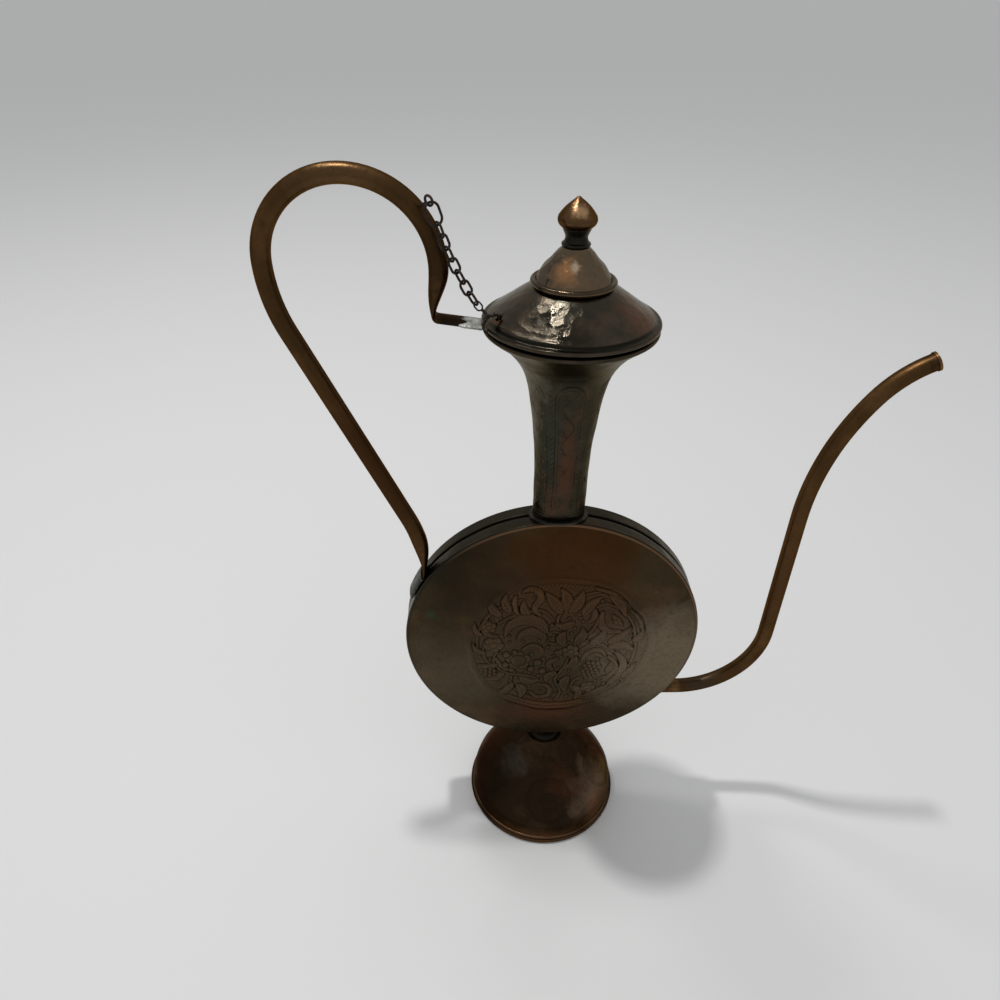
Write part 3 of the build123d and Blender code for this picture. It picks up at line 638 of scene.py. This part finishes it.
FRUIT = [
    # middle, radius
    ((-26.5, -10.5), 5.2), ((-34.5, -5), 2.6), ((-35, -14.5), 2.4), ((-29, -2.5), 2.0), ((-13.5, -12.5), 3.0),
    ((-18, -18.5), 2.4), ((-10, -20.5), 2.6), ((-31, -19.5), 2.2), ((36, 24), 2.0),
]
STEMS = [
    # points along the stem, width
    (((20, 34), (28, 39), (38, 34), (46, 24), (50, 10), (51, -6), (47, -22)), 2.6),
    (((-24, 44), (-36, 39), (-46, 30), (-52, 18), (-54, 4), (-52, -10)), 2.4),
    (((0, -53), (3, -42), (-1, -30), (4, -18), (7, -8)), 2.6),
    (((10, 4), (19, 14), (24, 26), (20, 35), (11, 33)), 2.6),
    (((14, -2), (24, 4), (34, -1), (41, -8)), 2.4),
    (((-5, 27), (-12, 34), (-22, 33), (-32, 29), (-41, 22)), 2.6),
    (((-48, 9), (-50, -4), (-46, -14), (-38, -20)), 2.2),
    (((20, -26), (13, -30), (11, -39), (18, -47), (28, -46)), 2.4),
    (((-30, -24), (-31, -34), (-22, -46), (-10, -52)), 2.2), (((3, 17), (-2, 26), (1, 34)), 2.6),
    (((-9, 9), (-3, 5), (2, 8), (1, 14), (-5, 16)), 2.2),
    (((-12, -29), (-22, -25), (-37, -21), (-43, -9), (-38, 1)), 2.4),
    (((28, -30), (38, -28), (46, -34), (40, -42)), 2.4), (((6, 44), (18, 48), (30, 50)), 2.0),
]


def medallion(x, y):
    """Height of the embossed ornament over the plate, x to the right and y up from its middle."""
    border_at, groove_at, hatch_at, ground = 61.0, 57.6, 55.2, 54
    reach, buds = 52, 420
    r = np.hypot(x, y)
    a = np.arctan2(y, x)
    wave = 0.7 * np.sin(3 * a + 1.0) + 0.5 * np.sin(7 * a + 0.4) + 0.25 * np.sin(17 * a)
    field = 0.5 / (1 + np.exp((r - 60.3 - wave) / 0.8))
    strength = 0.7 + 0.3 * np.sin(2 * a + 0.6)
    ridge = 0.9 * np.exp(-(((r - border_at - wave) / 1.5) ** 2))
    border = strength * (ridge - 0.5 * np.exp(-(((r - groove_at - wave) / 0.7) ** 2)))
    hatch = 0.25 * np.sin(a * 130 + (r - ground) * 1.1) * np.exp(-(((r - hatch_at) / 1.9) ** 4))
    relief = 0.16 * np.sin(x * 2.4 + 1.3 * np.sin(y * 0.7)) * np.sin(y * 2.4 + 1.3 * np.sin(x * 0.6))
    relief *= 1 / (1 + np.exp((r - ground) / 0.8))
    for points, width in STEMS:
        ribbon(relief, x, y, points, width, 0.8, 1)
    for points, width in RIBBONS:
        ribbon(relief, x, y, points, width)
    for points, width in LEAVES:
        leaf(relief, x, y, points, width)
    for centre, size, petals, phase in FLOWERS:
        flower(relief, x, y, centre, size, petals, phase)
    # A low flower lies under the largest fruit
    flower(relief, x, y, FRUIT[0][0], 8.8, 5, 0.9, 0.9)
    berries(relief, x, y, (24, -14), -100, (3, 4, 3, 4, 3, 2))
    berries(relief, x, y, (-44, -20), 240, (2, 3, 2))
    for centre, size in FRUIT:
        fruit(relief, x, y, centre, size)
    # Small buds fill the ground between the leaves
    for spot in rng.uniform(-reach, reach, (buds, 2)):
        near = np.hypot(x - spot[0], y - spot[1]) < 1.9
        if hypot(*spot) < reach and near.any() and relief[near].max() < 0.3:
            fruit(relief, x, y, spot, rng.uniform(0.9, 1.5), 0.7)
    return field + border + hatch + relief * 0.9


def dish(rings, depth):
    """Radius and depth of a dished face, for the radii of its rings."""
    flat = BODY_RADIUS - PLATE_EDGE
    return np.stack([rings, depth + PLATE_RISE * (1 - (rings / flat) ** 2)], 1)


def plate_outline(fine):
    """Outline of a plate, and how many of its points are on the face, the rounded edge and the wall."""
    flat = BODY_RADIUS - PLATE_EDGE
    side = PLATE_FRONT - PLATE_EDGE
    seam = 1.5
    face = dish(np.concatenate([np.linspace(EYE, 67, fine), np.linspace(68, flat, 24)]), PLATE_FRONT)
    corner = arc((flat, side), PLATE_EDGE, 84, 0, 8)
    wall = np.stack([np.full(9, BODY_RADIUS), np.linspace(side - 0.8, seam, 9)], 1)
    within = BODY_RADIUS - SHEET
    inner = np.array([(within, seam), (within, side), (flat - 1, PLATE_FRONT - SHEET)])
    hidden = dish(np.linspace(flat - 4, EYE, 24), PLATE_FRONT - SHEET)
    return np.concatenate([face, corner, wall, inner, hidden]), len(face), len(corner), len(wall)


def make_plate(name, node, side, embossed):
    """Dished plate: face, rounded edge, side wall to the seam, and the inside."""
    columns, fine = (520, 170) if embossed else (192, 50)
    outline, shown, corner, wall = plate_outline(fine)
    radius, depth, angle = turned(outline, columns)
    right = radius * np.cos(angle)
    up = radius * np.sin(angle)
    points = np.stack([right, depth, up], -1)
    bump = np.zeros_like(radius)
    dirt = np.zeros_like(radius)
    wear_and_highlight = np.zeros_like(radius)
    if embossed:
        along = (right[:shown] - MEDALLION_RIGHT) / MEDALLION_SCALE
        high = (up[:shown] - MEDALLION_UP) / MEDALLION_SCALE
        bump[:shown] = MEDALLION_RELIEF * medallion(along, high)
        from_middle = np.hypot(along, high)
        # Grime fills the ornament's ground, and its ridges are rubbed
        dirt[:shown] = np.clip(0.5 - bump[:shown], 0, 1) * 0.65 + 0.08
        dirt[:shown] /= 1 + np.exp((from_middle - 60) / 1.2)
        around = sum(np.roll(bump, step, axis) for step in (-3, 3) for axis in (0, 1)) / 4
        wear_and_highlight[:shown] = np.clip((bump - around)[:shown] * 1.2, 0, 0.28) * (from_middle < 60)
    # A painted highlight runs along the edge from its top round to the right
    lit = np.clip(np.cos(angle - radians(55)) * 2.2 - 0.3, 0, 1)
    wear_and_highlight[shown + 1:shown + 4] = 0.85 * lit[shown + 1:shown + 4]
    wave = ripple(points[:shown], 26, 0.5, 4.4 + side) + ripple(points[:shown], 9, 0.12, 9.4 + side)
    bump[:shown] += wave * np.clip((BODY_RADIUS - PLATE_EDGE - radius[:shown]) / 6, 0, 1)
    # The side wall waves a little, as hand-turned sheet does
    wall_rows = slice(shown + corner, shown + corner + wall)
    radius[wall_rows] += ripple(points[wall_rows], 12, 0.25, 6.6) - 0.12
    x = radius * np.cos(angle)
    z = BODY_Z + radius * np.sin(angle)
    y = side * (depth + bump)
    grid = np.stack([x, y, z], -1)
    if side < 0:
        grid, dirt, wear_and_highlight = (values[:, ::-1] for values in (grid, dirt, wear_and_highlight))
    return mesh_piece(name, grid, "ewer", node, dirt=dirt, wear_and_highlight=wear_and_highlight)


# Materials

def nodes_of(name):
    """New material, its node tree and its principled shader."""
    material = bpy.data.materials.new(name)
    material.use_nodes = True
    tree = material.node_tree
    shader = tree.nodes["Principled BSDF"]
    return material, tree, shader


def add_node(tree, kind, **values):
    """Node of a kind with properties and inputs set by name."""
    node = tree.nodes.new(kind)
    for key, value in values.items():
        if key in node.inputs:
            node.inputs[key].default_value = value
        else:
            setattr(node, key, value)
    return node


def noise_at(tree, scale, detail=4.0, rough=0.55, where=(0, 0, 0)):
    """Noise in object space, scale in features per metre."""
    coordinates = add_node(tree, "ShaderNodeTexCoord")
    mapping = add_node(tree, "ShaderNodeMapping")
    mapping.inputs["Location"].default_value = where
    tree.links.new(coordinates.outputs["Object"], mapping.inputs["Vector"])
    pattern = add_node(tree, "ShaderNodeTexNoise", Scale=scale, Detail=detail, Roughness=rough)
    tree.links.new(mapping.outputs["Vector"], pattern.inputs["Vector"])
    return pattern.outputs["Fac"]


def ramp(tree, value, low, high, start=0.0, end=1.0):
    """Value mapped from one range to another, clamped."""
    node = add_node(tree, "ShaderNodeMapRange")
    node.inputs["From Min"].default_value = low
    node.inputs["From Max"].default_value = high
    node.inputs["To Min"].default_value = start
    node.inputs["To Max"].default_value = end
    tree.links.new(value, node.inputs["Value"])
    return node.outputs["Result"]


def mix(tree, amount, first, second):
    """Colour mixed by an amount; each colour is a tuple or a socket."""
    node = add_node(tree, "ShaderNodeMix", data_type="RGBA")
    tree.links.new(amount, node.inputs["Factor"])
    colour_inputs = [s for s in node.inputs if s.type == "RGBA"]
    for socket, colour in zip(colour_inputs, (first, second)):
        if isinstance(colour, tuple):
            socket.default_value = (*colour, 1)
        else:
            tree.links.new(colour, socket)
    return [s for s in node.outputs if s.type == "RGBA"][0]


def times(tree, a, b):
    """Product of two values."""
    node = add_node(tree, "ShaderNodeMath", operation="MULTIPLY")
    for i, value in enumerate((a, b)):
        if isinstance(value, (int, float)):
            node.inputs[i].default_value = value
        else:
            tree.links.new(value, node.inputs[i])
    return node.outputs["Value"]


def from_place(tree, centre, stretch):
    """Distance from a place given in millimetres, in space stretched by a factor along each axis."""
    coordinates = add_node(tree, "ShaderNodeTexCoord")
    scaled = add_node(tree, "ShaderNodeVectorMath", operation="MULTIPLY")
    scaled.inputs[1].default_value = stretch
    tree.links.new(coordinates.outputs["Object"], scaled.inputs[0])
    distance = add_node(tree, "ShaderNodeVectorMath", operation="DISTANCE")
    distance.inputs[1].default_value = [c * f * MM for c, f in zip(centre, stretch)]
    tree.links.new(scaled.outputs["Vector"], distance.inputs[0])
    return distance.outputs["Value"]


def zone(tree, under, colour, centre, size, strength, stretch=(1, 1, 1)):
    """Colour laid over another round a place of the part, in millimetres, with an uneven edge."""
    ragged = 0.4
    distance = from_place(tree, centre, stretch)
    uneven = ramp(tree, noise_at(tree, 1.6 / (size * MM), 5, 0.6), 0.3, 0.7, 1 - ragged, 1 + ragged)
    spread = times(tree, distance, uneven)
    amount = ramp(tree, spread, size * MM, size * MM * 0.35, 0, strength)
    return mix(tree, amount, under, colour)


def bent_normal(tree, height, strength, distance, under=None):
    """Normal bent by a height, over another normal if one is given."""
    node = add_node(tree, "ShaderNodeBump", Strength=strength, Distance=distance)
    tree.links.new(height, node.inputs["Height"])
    if under is not None:
        tree.links.new(under, node.inputs["Normal"])
    return node.outputs["Normal"]


def aged_copper(name, base, dark, bright, zones=(), tarnish=0.5, shine=0.32, green=0.1, wear_and_highlight=1.0, hollow=0.8,
                cloud=28, rim=None, edge=(0.50, 0.42, 0.33)):
    """Old copper: brown base, dark tarnish in clouds and hollows, brighter worn edges, a little green, and
    the mesh's wear and painted highlights.

    Each zone is a colour, a place, a size and a strength, and may have a stretch. A rim is a centre, the
    radius round the axis through it along Y from which the metal darkens, and a colour.
    """
    material, tree, shader = nodes_of(name)
    clouds = ramp(tree, noise_at(tree, cloud, 5, 0.6), 0.36, 0.68)
    colour = mix(tree, times(tree, clouds, tarnish), base, dark)
    warm = ramp(tree, noise_at(tree, cloud * 2, 4, 0.55, (0.3, 0.1, 0.7)), 0.5, 0.75, 0, 0.35)
    colour = mix(tree, warm, colour, bright)
    for patch in zones:
        colour = zone(tree, colour, *patch)
    if rim:
        centre, reach, tint = rim
        worn = ramp(tree, noise_at(tree, 40, 4, 0.6), 0.3, 0.7, 0.6, 1.0)
        outside = ramp(tree, from_place(tree, centre, (1, 0, 1)), reach * MM, (reach + 1.5) * MM)
        colour = mix(tree, times(tree, outside, worn), colour, tint)
    speckle = ramp(tree, noise_at(tree, 420, 6, 0.7, (0.7, 0.2, 0.4)), 0.5, 0.72, 0, 0.5)
    colour = mix(tree, speckle, colour, dark)
    geometry = add_node(tree, "ShaderNodeNewGeometry")
    edges = ramp(tree, geometry.outputs["Pointiness"], 0.515, 0.57, 0, wear_and_highlight)
    rub = ramp(tree, noise_at(tree, 130, 3, 0.6), 0.35, 0.6)
    colour = mix(tree, times(tree, edges, rub), colour, bright)
    # The mesh's layer of wear and painted highlights turns the colour toward the bright copper
    rubbed = add_node(tree, "ShaderNodeAttribute", attribute_name="wear_and_highlight")
    colour = mix(tree, rubbed.outputs["Fac"], colour, bright)
    spots = ramp(tree, noise_at(tree, 75, 6, 0.7, (0.9, 0.4, 0.2)), 0.62, 0.72, 0, green)
    colour = mix(tree, spots, colour, (0.055, 0.085, 0.06))
    grime = add_node(tree, "ShaderNodeAttribute", attribute_name="dirt")
    colour = mix(tree, grime.outputs["Fac"], colour, tuple(c * 0.45 for c in dark))
    hollows = ramp(tree, geometry.outputs["Pointiness"], 0.49, 0.45, 0, hollow)
    colour = mix(tree, hollows, colour, tuple(c * 0.4 for c in dark))
    tree.links.new(colour, shader.inputs["Base Color"])
    shader.inputs["Metallic"].default_value = 0.94
    shader.inputs["Specular Tint"].default_value = (*edge, 1)
    rough = ramp(tree, noise_at(tree, 60, 6, 0.65, (0.5, 0.6, 0.1)), 0.3, 0.7, shine - 0.08, shine + 0.16)
    tree.links.new(rough, shader.inputs["Roughness"])
    broad = bent_normal(tree, noise_at(tree, 90, 3, 0.5, (0.2, 0.8, 0.5)), 0.3, 0.0012)
    fine = bent_normal(tree, noise_at(tree, 900, 4, 0.6), 0.22, 0.0004, broad)
    tree.links.new(fine, shader.inputs["Normal"])
    return material


def iron(name):
    """Rusty dark iron wire."""
    material, tree, shader = nodes_of(name)
    rust = ramp(tree, noise_at(tree, 500, 5, 0.7), 0.42, 0.62)
    colour = mix(tree, rust, (0.016, 0.012, 0.009), (0.048, 0.024, 0.014))
    tree.links.new(colour, shader.inputs["Base Color"])
    shader.inputs["Metallic"].default_value = 0.6
    rough = ramp(tree, noise_at(tree, 700, 4, 0.6), 0.3, 0.7, 0.42, 0.7)
    tree.links.new(rough, shader.inputs["Roughness"])
    bent = bent_normal(tree, noise_at(tree, 1200, 5, 0.7), 0.5, 0.0003)
    tree.links.new(bent, shader.inputs["Normal"])
    return material


def tin(name, hollow, lump):
    """Dull tin solder, pale on its lumps and grey in its hollows."""
    material, tree, shader = nodes_of(name)
    lumps = ramp(tree, noise_at(tree, 180, 5, 0.65), 0.38, 0.62)
    colour = mix(tree, lumps, hollow, lump)
    tree.links.new(colour, shader.inputs["Base Color"])
    shader.inputs["Metallic"].default_value = 0.75
    rough = ramp(tree, noise_at(tree, 300, 4, 0.6), 0.3, 0.7, 0.38, 0.6)
    tree.links.new(rough, shader.inputs["Roughness"])
    bent = bent_normal(tree, noise_at(tree, 380, 5, 0.6), 0.6, 0.0008)
    tree.links.new(bent, shader.inputs["Normal"])
    return material


def paint(obj, material):
    """Puts one material on an object."""
    obj.data.materials.clear()
    obj.data.materials.append(material)


PALE_EDGE = (0.85, 0.80, 0.72)


def flask_metal():
    """Copper of the two plates, with painted reflections on the front: dark and red-brown above, paler and
    greyer below; grey beyond the faces.
    """
    zones = [
        # The first six zones are painted reflections on the front face: dark and red-brown above as of a dark
        # room, greyer in the middle, paler below as of the floor and red-brown at the bottom; then a green
        # spot of patina and a warmer back plate
        ((0.044, 0.015, 0.002), (6, -16, 224), 54, 0.92),
        ((0.012, 0.010, 0.006), (-50, -14, 216), 48, 0.8),
        ((0.036, 0.032, 0.022), (0, -18, 158), 66, 0.5),
        ((0.085, 0.066, 0.042), (-60, -14, 130), 50, 0.6),
        ((0.19, 0.15, 0.10), (72, -14, 141), 60, 0.8),
        ((0.090, 0.030, 0.014), (0, -16, 97), 20, 0.6, (0.5, 1, 1)),
        ((0.030, 0.060, 0.040), (-76, -14, 186), 5, 0.45),
        ((0.075, 0.035, 0.015), (0, 13, 200), 70, 0.5),
    ]
    rim = ((0, 0, 161), 90.5, (0.018, 0.018, 0.013))
    return aged_copper("flask", (0.056, 0.036, 0.018), (0.022, 0.017, 0.008), (0.17, 0.090, 0.046), zones,
                       tarnish=0.6, wear_and_highlight=0, hollow=0, cloud=14, rim=rim, edge=PALE_EDGE)


def foot_metal():
    """Dark copper of the foot, redder at its rim, with painted reflections: paler to the right, an orange
    highlight near the middle and dark to the left.
    """
    zones = [
        # Painted reflections of the lit floor: paler to the right, with a brighter patch low on that side
        ((0.16, 0.105, 0.066), (40, -30, 22), 30, 0.75),
        ((0.20, 0.088, 0.050), (36, -37, 18), 11, 0.65, (1.4, 1, 0.6)),
        ((0.055, 0.048, 0.036), (-24, -20, 48), 14, 0.7),
        # A painted orange highlight near the middle
        ((0.055, 0.020, 0.010), (14, -34, 40), 16, 0.6),
        # A painted dark reflection to the left, of the floor's shadow
        ((0.010, 0.006, 0.003), (-46, -20, 30), 34, 0.8),
        ((0.095, 0.045, 0.022), (0, -54, 4), 30, 0.8, (0.5, 1, 3)),
    ]
    return aged_copper("foot_metal", (0.026, 0.015, 0.008), (0.013, 0.010, 0.006), (0.10, 0.055, 0.030),
                       zones, tarnish=0.6, cloud=24)


def neck_metal():
    """Mottled olive copper of the neck, with red streaks down its front, a painted pale sheen down its left
    side and painted shade under the mouth.
    """
    zones = [
        # A painted pale sheen high on the left side
        ((0.15, 0.14, 0.115), (-21, -10, 347), 15, 0.75),
        ((0.090, 0.038, 0.022), (1, -16, 292), 16, 0.7, (2.4, 1, 0.4)),
        ((0.034, 0.040, 0.030), (-8, -14, 312), 12, 0.7, (1.6, 1, 0.4)),
        ((0.075, 0.033, 0.020), (-7, -13, 268), 9, 0.6, (1.8, 1, 0.5)),
        # A painted pale sheen down the left side
        ((0.15, 0.135, 0.11), (-17, -5, 322), 9, 0.7, (1, 1, 0.35)),
        # Painted shade under the mouth
        ((0.020, 0.015, 0.010), (0, -32, 357), 20, 0.6, (0.6, 1, 2)),
    ]
    return aged_copper("neck_metal", (0.050, 0.040, 0.025), (0.026, 0.025, 0.018), (0.12, 0.075, 0.048),
                       zones, tarnish=0.7, cloud=55, edge=(0.65, 0.60, 0.50))


def tube_metal():
    """Brown copper of the handle and the spout, dark where the handle is flattened, with a painted highlight
    on the handle's top.
    """
    zones = [
        ((0.034, 0.019, 0.008), (-68, 0, 398), 34, 0.8),
        ((0.030, 0.026, 0.018), (-80, 0, 212), 16, 0.6),
        # A painted highlight on the top of the handle's bend
        ((0.13, 0.075, 0.035), (-108, 0, 436), 26, 0.5),
        ((0.050, 0.022, 0.008), (-104, 0, 290), 70, 0.85),
        ((0.088, 0.043, 0.017), (146, 0, 225), 70, 0.8),
        ((0.048, 0.034, 0.022), (110, 0, 105), 22, 0.8),
        ((0.012, 0.0135, 0.011), (-58, 0, 371), 17, 0.97),
    ]
    return aged_copper("tube_metal", (0.082, 0.041, 0.015), (0.038, 0.022, 0.009), (0.19, 0.10, 0.042), zones,
                       tarnish=0.6, green=0.03)


def skirt_metal():
    """Smooth dark copper of the lid's skirt, redder to the right and round the hole, and darkened at the
    front as painted shade that dims the lamp's highlight there.
    """
    zones = [
        ((0.105, 0.050, 0.030), (34, -14, 378), 22, 0.8),
        ((0.09, 0.033, 0.014), (-37, -13, 376), 5, 0.85),
        # Painted shade at the front, where the lamp's highlight falls, to dim it
        ((0.018, 0.015, 0.011), (-12, -32, 379), 18, 0.88),
    ]
    return aged_copper("lid_metal", (0.046, 0.040, 0.029), (0.026, 0.023, 0.017), (0.15, 0.095, 0.060), zones,
                       tarnish=0.4, shine=0.12, edge=PALE_EDGE)


def dome_metal():
    """Brighter copper of the dome, with a red-brown front and a painted highlight as a small pale spot."""
    zones = [
        ((0.050, 0.042, 0.031), (-14, -5, DOME_TOP - 8), 10, 0.8),
        ((0.34, 0.17, 0.075), (-6, -12, DOME_TOP - 8), 8, 0.8),
        # A painted highlight: a small pale spot on the front
        ((0.52, 0.42, 0.30), (-1, -12, DOME_TOP - 6), 3.4, 0.8, (1.4, 1, 0.8)),
    ]
    return aged_copper("dome_metal", (0.125, 0.090, 0.056), (0.060, 0.047, 0.032), (0.28, 0.17, 0.09), zones,
                       tarnish=0.5, shine=0.17, green=0.03, edge=PALE_EDGE)


def cap_metal():
    """Bright copper of the finial's cap, with a painted highlight on top and painted shade to the left and
    below.
    """
    zones = [
        # A painted highlight on top, then painted shade to the left and on the underside
        ((0.44, 0.27, 0.14), (1, -6, CAP_LOW + 8.5), 4.5, 0.85),
        ((0.070, 0.036, 0.018), (-8, -2, CAP_LOW + 6), 5.5, 0.8),
        ((0.045, 0.024, 0.012), (0, -7, CAP_LOW + 1), 5, 0.8, (0.5, 1, 1.4)),
    ]
    return aged_copper("cap_metal", (0.125, 0.066, 0.030), (0.060, 0.034, 0.016), (0.28, 0.15, 0.070), zones,
                       tarnish=0.5, shine=0.22, green=0.03)


def dress():
    """Makes the pieces and gives every shown piece its material."""
    flask = flask_metal()
    seam = aged_copper("seam", (0.012, 0.011, 0.009), (0.006, 0.006, 0.005), (0.03, 0.022, 0.016), wear_and_highlight=0.2,
                       shine=0.5)
    tube = tube_metal()
    skirt = skirt_metal()
    # Near-black copper of the finial's stem; on the foot's stem it is painted shade under the flask
    stem_dark_and_shade = aged_copper("stem_metal_and_shade", (0.019, 0.018, 0.014), (0.011, 0.011, 0.008), (0.05, 0.036, 0.024),
                        wear_and_highlight=0.4, shine=0.30, edge=PALE_EDGE)
    wire = iron("wire_iron")
    pale = tin("solder_pale", (0.10, 0.10, 0.088), (0.44, 0.44, 0.40))
    dull = tin("solder_dull", (0.018, 0.017, 0.013), (0.12, 0.115, 0.095))
    dark = tin("solder_dark", (0.008, 0.007, 0.005), (0.040, 0.034, 0.024))
    paint(make_foot(), foot_metal())
    paint(make_neck(), neck_metal())
    paint(make_skirt(), skirt)
    paint(make_dome(), dome_metal())
    paint(make_stem(), stem_dark_and_shade)
    paint(make_cap(), cap_metal())
    paint(make_tab_solder(), pale)
    paint(coil("wire_twist", TWIST, 0.7, 1.9), wire)
    paint(coil("wire_turns", TURNS, 0.72, 2.3), wire)
    paint(make_plate("flask_front", "body_front", -1, True), flask)
    paint(make_plate("flask_back", "body_back", 1, False), flask)
    # The foot's stem takes the near-black stem copper, as painted shade under the flask
    kept = {
        "foot_stem": stem_dark_and_shade, "body_sleeve": seam, "handle_tube": tube, "spout_tube": tube, "lid_collar": skirt,
        "neck_solder": dark, "handle_bottom_solder": dull, "spout_solder": dull, "chain_eye": wire,
        "chain_ring": wire, "lid_wire": wire,
    }
    for i in range(1, 8):
        kept[f"chain_link_{i}"] = wire
    for node, material in kept.items():
        paint(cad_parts[node], material)


# Floor, light and camera

def make_stage():
    """Pale floor and soft light."""
    reach = 30.0
    mesh = bpy.data.meshes.new("floor")
    corners = [(-reach, -reach, 0), (reach, -reach, 0), (reach, reach, 0), (-reach, reach, 0)]
    mesh.from_pydata(corners, [], [(0, 1, 2, 3)])
    floor = bpy.data.objects.new("floor", mesh)
    bpy.context.scene.collection.objects.link(floor)
    material, _, shader = nodes_of("floor_paint")
    shader.inputs["Base Color"].default_value = (0.70, 0.70, 0.69, 1)
    shader.inputs["Roughness"].default_value = 0.6
    floor.data.materials.append(material)
    world = bpy.data.worlds.new("studio")
    bpy.context.scene.world = world
    world.use_nodes = True
    sky = world.node_tree.nodes["Background"]
    sky.inputs["Color"].default_value = (0.86, 0.87, 0.88, 1)
    sky.inputs["Strength"].default_value = 0.64
    lamp("key", place=(-0.402, 0.182, 2.312), target=(0.05, 0, 0), size=0.09, power=18.7)
    lamp("back", place=(-0.60, 0.56, 1.86), target=(0, 0, 0.1), size=0.25, power=4.0)


def lamp(name, place, target, size, power):
    """Square area lamp aimed at a point."""
    light = bpy.data.lights.new(name, "AREA")
    light.size = size
    light.energy = power
    obj = bpy.data.objects.new(name, light)
    obj.location = place
    obj.rotation_euler = (Vector(target) - Vector(place)).to_track_quat("-Z", "Y").to_euler()
    bpy.context.scene.collection.objects.link(obj)


def make_camera():
    """Camera at the photograph's place."""
    place = Vector((-43.74, -351.32, 510.31)) * MM
    yaw, pitch, roll = radians(1.60), radians(35.08), radians(0.63)
    forward = Vector((sin(yaw) * cos(pitch), cos(yaw) * cos(pitch), -sin(pitch)))
    level = Vector((cos(yaw), -sin(yaw), 0))
    above = level.cross(forward)
    right = level * cos(roll) + above * sin(roll)
    up = above * cos(roll) - level * sin(roll)
    camera = bpy.data.cameras.new("camera")
    camera.sensor_width = 36.0
    camera.lens = 27.04
    camera.clip_start = 0.01
    obj = bpy.data.objects.new("camera", camera)
    turn = Matrix((right, up, -forward)).transposed()
    obj.matrix_world = Matrix.Translation(place) @ turn.to_4x4()
    bpy.context.scene.collection.objects.link(obj)
    bpy.context.scene.camera = obj


dress()
make_stage()
make_camera()
bpy.context.scene.view_settings.view_transform = "Standard"
